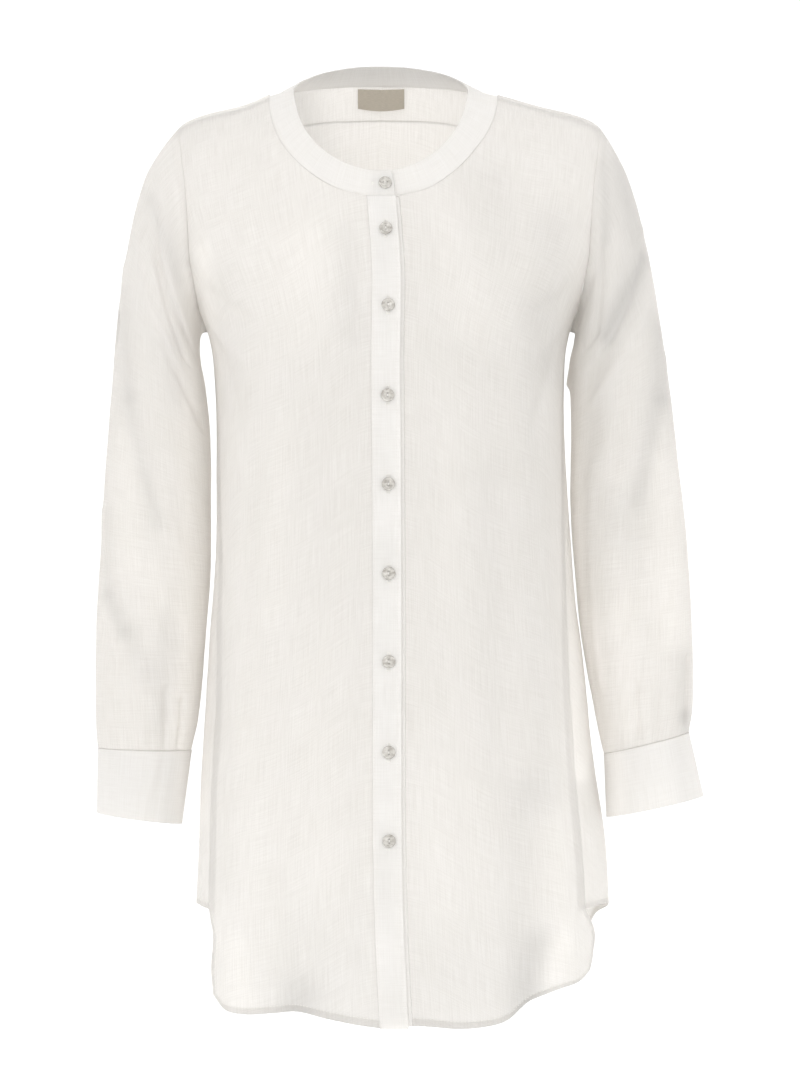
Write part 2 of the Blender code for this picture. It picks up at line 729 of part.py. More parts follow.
def sleeve_rings(side, places):
    turns = ring_turns(places)
    first = [ring_point(side, SLEEVE[side], 0.0, turn) for turn in turns]
    rings = []
    for row in range(SLEEVE_ROWS + 1):
        share = (row / SLEEVE_ROWS) ** SLEEVE_CROWDING
        hold = (1.0 - min(share / CAP_SHARE, 1.0)) ** 2
        ring = []
        for place, turn, plain in zip(places, turns, first):
            point = ring_point(side, SLEEVE[side], share, turn) + (place - plain) * hold
            centre = ring_point(side, SLEEVE[side], share, 0.0).lerp(
                ring_point(side, SLEEVE[side], share, 180.0), 0.5)
            inwards = (centre - point).normalized()
            ring.append(point + inwards * crease_depth(side, share, turn) * (1.0 - hold))
        rings.append(ring)
    return rings


def tube_wall(rings, thickness, closed=True, seam_normals=None):
    """Outer and inner points of a wall through rings, the inner ones along the face's own normals.

    Where the first ring meets a panel at a mild angle, its end face turns to the panel's.
    """
    grid = []
    count = len(rings[0])
    for row, ring in enumerate(rings):
        before = rings[max(row - 1, 0)]
        after = rings[min(row + 1, len(rings) - 1)]
        points = []
        for index, point in enumerate(ring):
            if closed:
                around = ring[(index + 1) % count] - ring[index - 1]
            else:
                around = ring[min(index + 1, count - 1)] - ring[max(index - 1, 0)]
            normal = around.cross(after[index] - before[index]).normalized()
            points.append((point, normal))
        middle = sum(ring, Vector()) / count
        spread = sum(normal.dot(point - middle) for point, normal in points)
        facing = 1.0 if spread > 0 else -1.0
        points = [(point, normal * facing) for point, normal in points]
        if seam_normals and row == 0:
            points = [(point, turned_to(normal, seam)) for (point, normal), seam in zip(points, seam_normals)]
        grid.append([(point, point - normal * thickness) for point, normal in points])
    return grid


def turned_to(normal, seam_normal):
    return normal.lerp(seam_normal, ease(0.0, MITRE_LIMIT, normal.dot(seam_normal))).normalized()


def make_sleeve(name, side, material):
    places, normals = armhole(side)
    grid = tube_wall(sleeve_rings(side, places), CLOTH, seam_normals=normals)
    return wall_object(name, [grid], material, closed=True)


def cuff_rings(side):
    rings = []
    for row in range(CUFF_ROWS + 1):
        ring = []
        for step in range(CUFF_TURNS + 1):
            turned = (360.0 + CUFF_LAP) * step / CUFF_TURNS
            point = ring_point(side, CUFF[side], row / CUFF_ROWS, CUFF_START + turned)
            centre = ring_point(side, CUFF[side], row / CUFF_ROWS, 0.0).lerp(
                ring_point(side, CUFF[side], row / CUFF_ROWS, 180.0), 0.5)
            under = ease(360.0 - CUFF_LAP_EASE, 360.0 - CUFF_LAP_EASE / 4, turned)
            ring.append(point + (centre - point).normalized() * (LAP_DROP * under))
        rings.append(ring)
    return rings


def make_cuff(name, side, material):
    return wall_object(name, [tube_wall(cuff_rings(side), DOUBLE_CLOTH, closed=False)], material)


def band_rings():
    """Seam and free edge of the neck band, from the lap on top round the neck to the lap beneath."""
    stations = []
    for side in (RIGHT, LEFT):
        half = []
        for point in FRONT_NECK:
            angle = angle_at(point.seam_out, point.seam_height)
            half.append(band_station(side, angle, down_at(angle, point.seam_height), point))
        for point in BACK_NECK:
            angle = angle_at(point.seam_out, point.seam_height, back=True)
            half.append(band_station(side, angle, down_at(angle, point.seam_height), point))
        stations.append(half)
    right, left = stations
    lap_share = LAP / PLACKET_SEAM
    start = [mix(here, there, lap_share) for here, there in zip(left[0], left[1])]
    end = [mix(here, there, lap_share) for here, there in zip(right[0], right[1])]
    path = [start] + right + left[-2::-1] + [end]
    drops = [LAP_DROP * ease(len(path) - 5, len(path) - 3, index) for index in range(len(path))]
    rings = []
    for column in range(BAND_COLUMNS + 1):
        part = column / BAND_COLUMNS
        ring = []
        for (seam, edge, _), drop in zip(path, drops):
            inwards = Vector((0.0, drop, 0.0))
            ring.append(seam.lerp(edge, part) + (edge - seam).normalized() * (GAP * (1 - part)) + inwards)
        rings.append(ring)
    return rings, [normal for _, _, normal in path]


def band_station(side, angle, down, point):
    """A point of the neck seam, the point of the band's free edge above it and the cloth's normal."""
    seam = body_point(side, angle, down)
    normal = body_normal(side, angle, down)
    edge = lean(Vector((side * point.edge_out, point.edge_y, point.edge_height)))
    return seam, edge, normal


def make_band(name, material):
    rings, normals = band_rings()
    return wall_object(name, [tube_wall(rings, DOUBLE_CLOTH, closed=False, seam_normals=normals)], material)


def placket_grid(side, inner_edge, outer_edge, lift):
    """A strip down the centre front, between two widths from the centre line."""
    hem = FRONT_HEM[side]
    grid = []
    neck = FRONT_NECK[0].seam_height - GAP
    foot = hem[1].height
    heights = [foot + (neck - foot) * row / PLACKET_ROWS for row in range(PLACKET_ROWS + 1)]
    for height in heights:
        row = []
        for column in range(BAND_COLUMNS + 1):
            out = mix(inner_edge, outer_edge, column / BAND_COLUMNS)
            angle = math.copysign(angle_at(abs(out), height), out)
            row.append(skin(RIGHT, angle * -side, down_at(abs(angle), height), DOUBLE_CLOTH, lift))
        grid.append(row)
    return grid


def make_placket(name, side, material):
    if side == RIGHT:
        grid = placket_grid(side, PLACKET_SEAM, -LAP, PLACKET_LIFT)
    else:
        grid = placket_grid(side, PLACKET_SEAM - GAP, -LAP, PLACKET_UNDER)
    return wall_object(name, [grid], material)


def button_mesh(material):
    """A dished button about its own centre, facing +Z."""
    builder = bmesh.new()

    def circle(radius, height, offset, sides):
        spokes = [Matrix.Rotation(math.tau * index / sides, 3, "Z") for index in range(sides)]
        return [
            builder.verts.new((spoke @ Vector((radius, 0.0, 0.0)) + Vector((offset, 0.0, height))) * CM)
            for spoke in spokes
        ]

    def bridge(low, high):
        for index in range(len(low)):
            after = (index + 1) % len(low)
            builder.faces.new([low[index], low[after], high[after], high[index]])

    rings = [circle(ring.radius, ring.height, 0.0, BUTTON_SIDES) for ring in BUTTON_PROFILE]
    for low, high in zip(rings, rings[1:]):
        bridge(low, high)
    holes = []
    for offset in (-BUTTON_HOLE.offset, BUTTON_HOLE.offset):
        low = circle(BUTTON_HOLE.radius, BUTTON_PROFILE[0].height, offset, BUTTON_HOLE.sides)
        high = circle(BUTTON_HOLE.radius, BUTTON_PROFILE[-1].height, offset, BUTTON_HOLE.sides)
        bridge(high, low)
        holes.append((low, high))
    for loops in ([rings[0]] + [hole[0] for hole in holes], [rings[-1]] + [hole[1] for hole in holes]):
        edges = [
            builder.edges.get((first, second))
            for loop in loops for first, second in zip(loop, loop[1:] + loop[:1])
        ]
        bmesh.ops.triangle_fill(builder, edges=edges, use_beauty=True)
    bmesh.ops.recalc_face_normals(builder, faces=builder.faces)
    mesh = bpy.data.meshes.new("button")
    builder.to_mesh(mesh)
    builder.free()
    mesh.shade_smooth()
    mesh.set_sharp_from_angle(angle=math.radians(SHARP_ANGLE))
    mesh.materials.append(material)
    return mesh


def seat_button(name, mesh, place, normal, material, turn=0.0):
    """A button with its back on a place and its face along the normal."""
    thing = place_object(name, mesh, material)
    side_way = Vector((0.0, 0.0, 1.0)).cross(normal).normalized()
    up = normal.cross(side_way).normalized()
    basis = Matrix((side_way, up, normal)).transposed().to_4x4()
    thing.matrix_world = Matrix.Translation(place * CM) @ basis @ Matrix.Rotation(math.radians(turn), 4, "Z")
    return thing


def make_buttons(material):
    mesh = button_mesh(material)
    rings, _ = band_rings()
    seam, edge = rings[0][1], rings[-1][1]
    across = rings[0][2] - rings[0][0]
    normal = (edge - seam).cross(across).normalized()
    normal = normal if normal.y < 0 else -normal
    place = seam.lerp(edge, BAND_BUTTON_SHARE) - across.normalized() * BAND_BUTTON_SHIFT
    seat_button("button_1", mesh, place + normal * BUTTON_SEAT, normal, material)
    for number, height in enumerate(BUTTON_HEIGHTS, start=2):
        down = down_at(0.0, height)
        normal = body_normal(RIGHT, 0.01, down)
        place = body_point(RIGHT, 0.0, down) + normal * (PLACKET_LIFT + BUTTON_SEAT)
        seat_button(f"button_{number}", mesh, place, normal, material, turn=90.0)
    for name, side in (("cuff_button_right", RIGHT), ("cuff_button_left", LEFT)):
        rings = cuff_rings(side)
        low = rings[1][1]
        high = rings[2][1]
        around = rings[1][2] - rings[1][0]
        normal = around.cross(high - low).normalized()
        middle = sum(rings[1], Vector()) / len(rings[1])
        normal = normal if normal.dot(low - middle) > 0 else -normal
        seat_button(name, mesh, low.lerp(high, 0.5) + normal * BUTTON_SEAT, normal, material)


def make_label(name, material):
    """The label hangs from the neck seam against the yoke's inner face."""
    grid = []
    for row in range(LABEL_ROWS + 1):
        height = LABEL_TOP - LABEL_HEIGHT * row / LABEL_ROWS
        line = []
        for column in range(LABEL_COLUMNS + 1):
            out = mix(-LABEL_HALF_WIDTH, LABEL_HALF_WIDTH, column / LABEL_COLUMNS)
            side = RIGHT if out < 0 else LEFT
            angle = angle_at(abs(out), height, back=True)
            line.append(skin(side, angle, down_at(angle, height), LABEL_THICKNESS, -CLOTH - LABEL_CLEAR))
        grid.append(line)
    return wall_object(name, [grid], material)


def build():
    clear_scene()
    linen = make_material("linen")
    shell = make_material("shell")
    label = make_material("label")
    make_front("front_right", RIGHT, linen)
    make_front("front_left", LEFT, linen)
    make_back("back", linen)
    make_yoke("yoke", linen)
    make_placket("placket_right", RIGHT, linen)
    make_placket("placket_left", LEFT, linen)
    make_band("neck_band", linen)
    make_sleeve("sleeve_right", RIGHT, linen)
    make_sleeve("sleeve_left", LEFT, linen)
    make_cuff("cuff_right", RIGHT, linen)
    make_cuff("cuff_left", LEFT, linen)
    make_buttons(shell)
    make_label("neck_label", label)


build()
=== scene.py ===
import math
from collections import namedtuple

import bmesh
import bpy
import numpy as np
from mathutils import Matrix, Vector, noise


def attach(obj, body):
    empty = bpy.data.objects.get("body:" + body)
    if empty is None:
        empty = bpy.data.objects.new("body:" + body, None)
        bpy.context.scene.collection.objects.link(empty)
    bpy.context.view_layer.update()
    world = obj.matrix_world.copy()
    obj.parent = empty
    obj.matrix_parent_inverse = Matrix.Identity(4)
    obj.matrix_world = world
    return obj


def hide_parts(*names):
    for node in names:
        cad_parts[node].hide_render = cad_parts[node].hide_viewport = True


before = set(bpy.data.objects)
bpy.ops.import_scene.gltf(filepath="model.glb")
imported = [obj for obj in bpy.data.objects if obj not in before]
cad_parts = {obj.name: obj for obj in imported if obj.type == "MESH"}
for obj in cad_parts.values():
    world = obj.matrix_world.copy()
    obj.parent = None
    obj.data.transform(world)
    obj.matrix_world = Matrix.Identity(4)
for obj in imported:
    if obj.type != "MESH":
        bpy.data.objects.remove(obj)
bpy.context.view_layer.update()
print("frame loaded")

# The form is worked out in centimetres and degrees, and its meshes are in metres.
cm = 0.01
right = -1   # the wearer's right, at -X
left = 1
sheets = {}   # the points and normals of each piece of cloth, for the sewing on it

# Studio: camera, light and floor

studio = {
    "cameraPlace": (0.0108, -4.0, -0.3933),
    "lens": 200.0,
    "sensorWidth": 36.0,
    "worldColour": (1.0, 1.0, 1.0),
    "worldStrength": 1.2,
    # place, aim, size in m, power in W and colour of each soft light
    "lights": {
        "keyLight": ((-0.55, -2.7, 1.0), (0.0, 0.0, -0.4), 1.4, 9.0, (1.0, 0.99, 0.975)),
        "backLight": ((0.2, 2.2, -0.4), (0.0, 0.0, -0.4), 2.4, 30.0, (1.0, 0.99, 0.965)),
    },
    "floorHeight": -1.1,
    "floorSize": 14.0,
    "floorColour": (0.93, 0.93, 0.92),
    "floorGlow": 0.12,
}


def aimAt(thing, target):
    way = Vector(target) - thing.location
    thing.rotation_euler = way.to_track_quat("-Z", "Y").to_euler()


def buildStudio():
    scene = bpy.context.scene
    scene.view_settings.view_transform = "Standard"
    lens = bpy.data.cameras.new("camera")
    lens.lens = studio["lens"]
    lens.sensor_width = studio["sensorWidth"]
    lens.sensor_fit = "HORIZONTAL"
    camera = bpy.data.objects.new("camera", lens)
    camera.location = studio["cameraPlace"]
    camera.rotation_euler = (math.pi / 2, 0.0, 0.0)
    scene.collection.objects.link(camera)
    scene.camera = camera

    world = bpy.data.worlds.new("softbox")
    world.use_nodes = True
    backdrop = world.node_tree.nodes["Background"]
    backdrop.inputs["Color"].default_value = (*studio["worldColour"], 1.0)
    backdrop.inputs["Strength"].default_value = studio["worldStrength"]
    scene.world = world

    for name, (place, aim, size, power, colour) in studio["lights"].items():
        panel = bpy.data.lights.new(name, "AREA")
        panel.size = size
        panel.energy = power
        panel.color = colour
        light = bpy.data.objects.new(name, panel)
        light.location = place
        scene.collection.objects.link(light)
        aimAt(light, aim)

    bm = bmesh.new()
    bmesh.ops.create_grid(bm, x_segments=1, y_segments=1, size=studio["floorSize"] / 2)
    bmesh.ops.translate(bm, verts=bm.verts, vec=(0.0, 0.0, studio["floorHeight"]))
    mesh = bpy.data.meshes.new("floor")
    bm.to_mesh(mesh)
    bm.free()
    floor = bpy.data.objects.new("floor", mesh)
    scene.collection.objects.link(floor)
    paint = bpy.data.materials.new("floorPaint")
    paint.use_nodes = True
    shader = paint.node_tree.nodes["Principled BSDF"]
    shader.inputs["Base Color"].default_value = (*studio["floorColour"], 1.0)
    shader.inputs["Roughness"].default_value = 0.9
    shader.inputs["Emission Color"].default_value = (1.0, 1.0, 1.0, 1.0)
    shader.inputs["Emission Strength"].default_value = studio["floorGlow"]
    mesh.materials.append(paint)


buildStudio()
print("studio built")

# Even curves through the columns of a table, read at many places at once


def mix(first, second, part):
    return first + (second - first) * part


def ease(low, high, at):
    part = np.clip((at - low) / (high - low), 0.0, 1.0)
    return part * part * (3 - 2 * part)


def evenCurve(places, values, at):
    places, values = np.asarray(places, float), np.asarray(values, float)
    last = len(places) - 1
    before, after = np.maximum(np.arange(last + 1) - 1, 0), np.minimum(np.arange(last + 1) + 1, last)
    slopes = (values[after] - values[before]) / (places[after] - places[before])
    step = np.clip(np.searchsorted(places, at, side="right") - 1, 0, last - 1)
    span = places[step + 1] - places[step]
    part = np.clip((at - places[step]) / span, 0.0, 1.0)
    start = values[step] * (2 * part ** 3 - 3 * part ** 2 + 1)
    end = values[step + 1] * (3 * part ** 2 - 2 * part ** 3)
    leave = slopes[step] * span * (part ** 3 - 2 * part ** 2 + part)
    arrive = slopes[step + 1] * span * (part ** 3 - part ** 2)
    return start + end + leave + arrive


def readTable(table, name, at):
    return evenCurve(table["at"], table[name], at)


def throughPoints(points, at, corners=()):
    # An even line through points, read at counts along it, which turns sharply only at the corners.
    points = np.asarray(points, float)
    stops = [0, *corners, len(points) - 1]
    line = np.zeros((len(at), points.shape[1]))
    for low, high in zip(stops, stops[1:]):
        here = (at >= low) & (at <= high)
        for axis in range(points.shape[1]):
            counts = np.arange(low, high + 1)
            line[here, axis] = evenCurve(counts, points[low:high + 1, axis], at[here])
    return line


def spread(count, edge=0.0, clusters=3):
    # Shares from 0 to 1, with a few more close to both ends.
    shares = np.linspace(0.0, 1.0, count + 1)
    close = edge * np.arange(1, clusters + 1) / clusters
    return np.unique(np.concatenate([shares, close, 1.0 - close])) if edge else shares


# The body: a rounded section at each height, which rolls over the shoulders under a ridge

bodyForm = {
    "at": (-86.0, -72.0, -66.0, -60.5, -52.0, -42.0, -32.0, -24.0, -21.0, -18.0, -14.0, -9.0, -4.0, 5.0),
    "halfWidth": (18.9, 18.5, 18.15, 17.7, 16.95, 16.05, 15.7, 15.75, 16.25, 17.5, 19.4, 20.9, 21.6, 22.0),
    "front": (13.6, 13.3, 13.1, 12.9, 12.6, 12.5, 12.7, 12.9, 12.8, 12.4, 11.6, 10.2, 8.6, 7.6),
    "back": (12.3, 12.0, 11.8, 11.5, 11.0, 10.5, 10.3, 10.4, 10.5, 10.6, 10.6, 10.3, 9.7, 8.6),
}
shoulderRidge = {
    "at": (0.0, 4.0, 7.0, 10.0, 13.0, 16.0, 18.0, 19.0, 20.5, 24.0),
    "height": (4.5, 3.6, 2.2, 0.74, -0.32, -1.12, -1.85, -2.5, -4.0, -8.0),
}
hangLean = {
    "at": (-84.0, -74.0, -67.0, -60.0, -52.0, -42.0, -32.0, -24.0, -16.0),
    "sway": (1.45, 1.4, 1.3, 0.95, 0.75, 0.54, 0.27, 0.12, 0.1),
    "turn": (0.045, 0.08, 0.087, 0.065, 0.05, 0.035, 0.017, 0.01, 0.0),
}
body = {
    "squareness": 0.05,
    "shoulderSpan": 21.8,
    "roll": 18.0,
    "neckSetBack": 2.5,
    "neckShift": -0.75,
    "neckShiftOut": (8.0, 14.0),
    "neckShiftHeights": (-18.0, -4.0),
    "fluteFoot": -82.0,
    "leftTuck": 0.21,
    "leftTuckReach": 6.0,
    "placketSeam": 1.42,
    "normalStep": 0.05,
}
flute = namedtuple("flute", "side angle halfWidth depth top")
flutes = [
    flute(right, 31.0, 4.5, 0.55, -62.0),
    flute(right, 47.0, 6.0, -0.3, -60.0),
    flute(right, 76.0, 7.0, 0.35, -50.0),
    flute(right, 118.0, 8.0, 0.7, -48.0),
    flute(right, 152.0, 9.0, 0.8, -42.0),
    flute(left, 36.0, 4.5, 0.6, -62.0),
    flute(left, 52.0, 7.0, -0.3, -58.0),
    flute(left, 78.0, 7.0, 0.35, -50.0),
    flute(left, 112.0, 8.0, 0.7, -46.0),
    flute(left, 143.0, 9.0, 0.75, -50.0),
]


def squareAt(angle):
    return 1.0 + body["squareness"] * np.sin(2 * np.radians(angle)) ** 2


def ridgeAt(angle):
    out = body["shoulderSpan"] * np.abs(np.sin(np.radians(angle))) * squareAt(angle)
    return readTable(shoulderRidge, "height", out)


def downAt(angle, height):
    # Way from the ridge down the roll to a height.
    roll = body["roll"]
    fall = np.maximum(ridgeAt(angle) - height, 0.0)
    rolled = roll * np.arccos(1.0 - np.minimum(fall, roll) / roll)
    return np.where(fall < roll, rolled, fall - roll + roll * math.pi / 2)


def heightAt(angle, down):
    turned = np.minimum(down / body["roll"], math.pi / 2)
    return ridgeAt(angle) - body["roll"] * (1.0 - np.cos(turned)) - (down - body["roll"] * turned)


def angleAt(out, height, back=False):
    # Angle from the centre front at which the section is so far out.
    halfWidth = readTable(bodyForm, "halfWidth", height)
    low, high = np.zeros(np.shape(out + height)), np.full(np.shape(out + height), 90.0)
    for _ in range(30):
        middle = (low + high) / 2
        short = halfWidth * np.sin(np.radians(middle)) * squareAt(middle) < out
        low, high = np.where(short, middle, low), np.where(short, high, middle)
    return 180.0 - low if back else low


def fluteAt(side, angle, height):
    depth = np.zeros(np.shape(angle))
    for fold in flutes:
        across = np.exp(-((angle - fold.angle) / fold.halfWidth) ** 2)
        reach = fold.depth * across * (1.0 - ease(body["fluteFoot"], fold.top, height))
        depth = depth + np.where(side == fold.side, reach, 0.0)
    return depth


def leaned(x, y, z):
    inwards = 1.0 - ease(*body["neckShiftOut"], np.abs(x))
    upwards = ease(*body["neckShiftHeights"], z)
    shift = readTable(hangLean, "sway", z) + readTable(hangLean, "turn", z) * y
    return np.stack([x + shift + body["neckShift"] * inwards * upwards, y, z], axis=-1)


def bodyPoint(side, angle, down):
    # The cloth's outer face. A way down below zero lies over the ridge, on the other face.
    over = down < 0
    angle, down = np.where(over, 180.0 - angle, angle), np.abs(down)
    height = heightAt(angle, down)
    bow = np.radians(angle)
    reach = np.sin(np.minimum(down / body["roll"], math.pi / 2))
    out = readTable(bodyForm, "halfWidth", height) * np.sin(bow) * squareAt(angle)
    depth = np.where(angle < 90.0, readTable(bodyForm, "front", height), readTable(bodyForm, "back", height))
    setBack = body["neckSetBack"] * np.cos(bow) ** 4
    y = setBack + (-np.cos(bow) * depth * squareAt(angle) - setBack) * reach
    drawnIn = fluteAt(side, np.abs(angle), height)
    tuck = body["leftTuck"] * (1.0 - ease(body["placketSeam"], body["leftTuckReach"], out))
    drawnIn = drawnIn + np.where((side == left) & (angle < 90.0), tuck, 0.0)
    return leaned(side * (out - drawnIn * np.sin(bow)), y + drawnIn * np.cos(bow), height)


def unit(vectors):
    return vectors / np.maximum(np.linalg.norm(vectors, axis=-1, keepdims=True), 1e-9)


def bodyNormal(side, angle, down):
    step = body["normalStep"]
    across = bodyPoint(side, angle + step, down) - bodyPoint(side, angle - step, down)
    along = bodyPoint(side, angle, down + step) - bodyPoint(side, angle, down - step)
    normal = unit(np.cross(across, along))
    outwards = bodyPoint(side, angle, down) * (1.0, 1.0, 0.0) + (0.0, 0.0, 8.0)
    facing = np.sign((normal * outwards).sum(-1, keepdims=True))
    return normal * np.where(facing == 0, 1.0, facing)


# Folds of the body: soft troughs and ridges between two places, which stand at a way out and a height


bodyFold = namedtuple("bodyFold", "x z toX toZ halfWidth rise")
frontFolds = [
    # from the neck and the shoulders down over the chest
    bodyFold(-8.9, -9.0, -10.2, -20.0, 1.1, -0.10),
    bodyFold(-5.6, -11.0, -6.4, -24.5, 1.2, 0.12),
    bodyFold(-3.4, -12.5, -3.1, -22.0, 0.8, -0.16),
    bodyFold(-13.6, -4.6, -15.6, -12.5, 1.0, -0.12),
    bodyFold(-11.2, -3.0, -12.6, -15.0, 1.4, 0.12),
    bodyFold(4.0, -12.5, 4.6, -24.0, 1.0, -0.12),
    bodyFold(7.4, -9.5, 9.2, -22.0, 1.3, 0.12),
    bodyFold(11.0, -3.4, 12.6, -14.0, 1.1, -0.12),
    bodyFold(14.8, -4.6, 15.8, -12.0, 1.0, 0.10),
    # out of the armholes towards the bust
    bodyFold(-16.4, -17.4, -12.0, -20.5, 0.9, -0.16),
    bodyFold(-15.9, -20.2, -12.4, -24.0, 0.8, 0.14),
    bodyFold(-15.0, -22.4, -13.0, -29.0, 0.9, -0.14),
    bodyFold(16.0, -17.6, 11.6, -20.2, 0.9, -0.16),
    bodyFold(15.4, -20.4, 11.8, -24.5, 0.8, 0.14),
    bodyFold(14.6, -23.0, 12.6, -30.5, 0.9, -0.14),
    # long soft folds of the front and the skirt
    bodyFold(-9.5, -24.0, -10.6, -47.0, 1.8, 0.16),
    bodyFold(-12.6, -31.0, -13.4, -60.0, 1.2, -0.14),
    bodyFold(-6.2, -30.0, -6.8, -55.0, 1.5, -0.10),
    bodyFold(-3.0, -34.0, -3.2, -50.0, 0.9, 0.08),
    bodyFold(-9.0, -52.0, -8.6, -79.0, 1.6, 0.14),
    bodyFold(-4.4, -56.0, -4.0, -80.0, 1.4, -0.09),
    bodyFold(6.0, -27.0, 6.8, -52.0, 1.6, 0.12),
    bodyFold(10.0, -30.0, 10.8, -58.0, 1.5, -0.14),
    bodyFold(13.2, -34.0, 14.4, -62.0, 1.1, 0.12),
    bodyFold(3.2, -46.0, 3.6, -70.0, 1.1, -0.08),
    bodyFold(7.6, -56.0, 7.0, -80.0, 1.5, 0.10),
    bodyFold(12.4, -60.0, 12.0, -78.5, 1.2, -0.16),
    bodyFold(14.6, -64.0, 15.2, -77.0, 0.9, 0.16),
]
backFolds = [
    bodyFold(0.0, -4.0, 0.4, -17.0, 1.6, -0.12),
    bodyFold(-6.5, -5.5, -8.2, -20.0, 1.3, 0.14),
    bodyFold(6.2, -5.0, 8.0, -18.0, 1.3, 0.14),
    bodyFold(-16.0, -16.5, -10.5, -20.5, 0.9, -0.18),
    bodyFold(-15.6, -20.5, -10.0, -26.5, 0.9, 0.16),
    bodyFold(16.2, -16.0, 10.8, -21.0, 0.9, -0.18),
    bodyFold(15.4, -21.0, 10.6, -25.5, 0.9, 0.16),
    bodyFold(-3.4, -22.0, -4.2, -52.0, 1.8, 0.16),
    bodyFold(3.0, -26.0, 3.8, -60.0, 1.6, -0.16),
    bodyFold(9.0, -30.0, 9.8, -66.0, 1.8, 0.16),
    bodyFold(-9.4, -32.0, -10.4, -62.0, 1.5, -0.16),
    bodyFold(-12.6, -42.0, -13.6, -70.0, 1.4, 0.14),
    bodyFold(-0.8, -56.0, -0.6, -80.0, 1.6, 0.14),
    bodyFold(6.0, -60.0, 5.6, -80.0, 1.3, -0.12),
    bodyFold(13.2, -44.0, 14.4, -69.0, 1.2, -0.14),
    bodyFold(-6.4, -58.0, -6.0, -80.0, 1.4, -0.12),
]
crumple = {
    "broadSize": 5.2,     # the widest dents, in cm
    "broadDepth": 0.12,
    "creaseSize": 2.3,
    "creaseDepth": 0.022,
    "foldGain": 1.7,
    "fineSize": 0.9,
    "fineDepth": 0.009,
    "cmPerDegree": 0.255,   # around the body
}


def crumpled(points, seed=0.0):
    # Uneven dents and short soft creases, such as worn linen keeps.
    rise = np.zeros(points.shape[:-1])
    for index in np.ndindex(rise.shape):
        place = Vector(points[index]) + Vector((seed, 0.0, 0.0))
        long = Vector((place.x, place.y, place.z * 0.6))
        broad = noise.noise(long / crumple["broadSize"])
        crease = 0.45 - 1.6 * abs(noise.noise(long / crumple["creaseSize"] + Vector((7.1, 3.3, 1.7))))
        fine = noise.noise(place / crumple["fineSize"])
        rise[index] = (broad * crumple["broadDepth"] + crease * crumple["creaseDepth"]
                       + fine * crumple["fineDepth"])
    return rise


def foldRise(turn, height, folds, back):
    # Height of the folds at a signed angle, which runs through 180 degrees at the centre back.
    rise = np.zeros(np.shape(turn))
    scale = crumple["cmPerDegree"]
    for fold in folds:
        ends = []
        for x, z in ((fold.x, fold.z), (fold.toX, fold.toZ)):
            angle = float(angleAt(abs(x), z, back))
            ends.append(np.array([math.copysign(angle, x) if x else angle, z]))
        start, way = ends[0], ends[1] - ends[0]
        way = way * (scale, 1.0)
        offTurn = (turn - start[0] + 180.0) % 360.0 - 180.0
        here = np.stack([offTurn * scale, height - start[1]], axis=-1)
        part = np.clip((here @ way) / (way @ way), 0.0, 1.0)
        off = np.linalg.norm(here - part[..., None] * way, axis=-1)
        swell = 0.55 + 0.45 * np.sin(math.pi * part)
        rise = rise + crumple["foldGain"] * fold.rise * swell * np.exp(-(off / fold.halfWidth) ** 2)
    return rise


def bodyRise(side, angle, down, points):
    # How far folds and dents lift the cloth off its smooth form.
    height = heightAt(angle, np.abs(down))
    turn = side * angle
    rise = foldRise(turn, height, frontFolds, False) + foldRise(turn, height, backFolds, True)
    rise = rise + crumpled(points)
    calm = ease(1.2, 3.2, np.abs(points[..., 0] - readTable(hangLean, "sway", height)))
    calm = np.where(angle < 90.0, 0.25 + 0.75 * calm, 1.0)
    return rise * calm


# Linen and the other finishes


linen = {
    "colour": (0.932, 0.919, 0.903),
    "shade": (0.872, 0.855, 0.834),
    "threadPitch": 0.00062,
    "slubLength": 0.034,
    "slubWidth": 0.0009,
    "roughness": 0.86,
    "sheen": 0.4,
    "translucency": 0.5,
    "openness": 0.2,
    "bump": 0.55,
    "bumpDepth": 0.00028,
}


def addNode(tree, kind, **settings):
    node = tree.nodes.new(kind)
    for name, value in settings.items():
        setattr(node, name, value)
    return node


def calculate(tree, operation, first, second=None, third=None):
    node = addNode(tree, "ShaderNodeMath", operation=operation)
    for socket, value in zip(node.inputs, (first, second, third)):
        if value is None:
            continue
        if isinstance(value, (int, float)):
            socket.default_value = value
        else:
            tree.links.new(value, socket)
    return node.outputs[0]


def stretchedNoise(tree, vector, scale, detail=2.0):
    mapping = addNode(tree, "ShaderNodeMapping")
    mapping.inputs["Scale"].default_value = scale
    tree.links.new(vector, mapping.inputs["Vector"])
    texture = addNode(tree, "ShaderNodeTexNoise", noise_dimensions="3D")
    texture.inputs["Scale"].default_value = 1.0
    texture.inputs["Detail"].default_value = detail
    tree.links.new(mapping.outputs["Vector"], texture.inputs["Vector"])
    return texture.outputs["Fac"]


def rampBetween(tree, value, low, high, lowColour, highColour):
    ramp = addNode(tree, "ShaderNodeValToRGB")
    ramp.color_ramp.elements[0].position = low
    ramp.color_ramp.elements[0].color = (*lowColour, 1.0)
    ramp.color_ramp.elements[1].position = high
    ramp.color_ramp.elements[1].color = (*highColour, 1.0)
    tree.links.new(value, ramp.inputs["Fac"])
    return ramp.outputs["Color"]


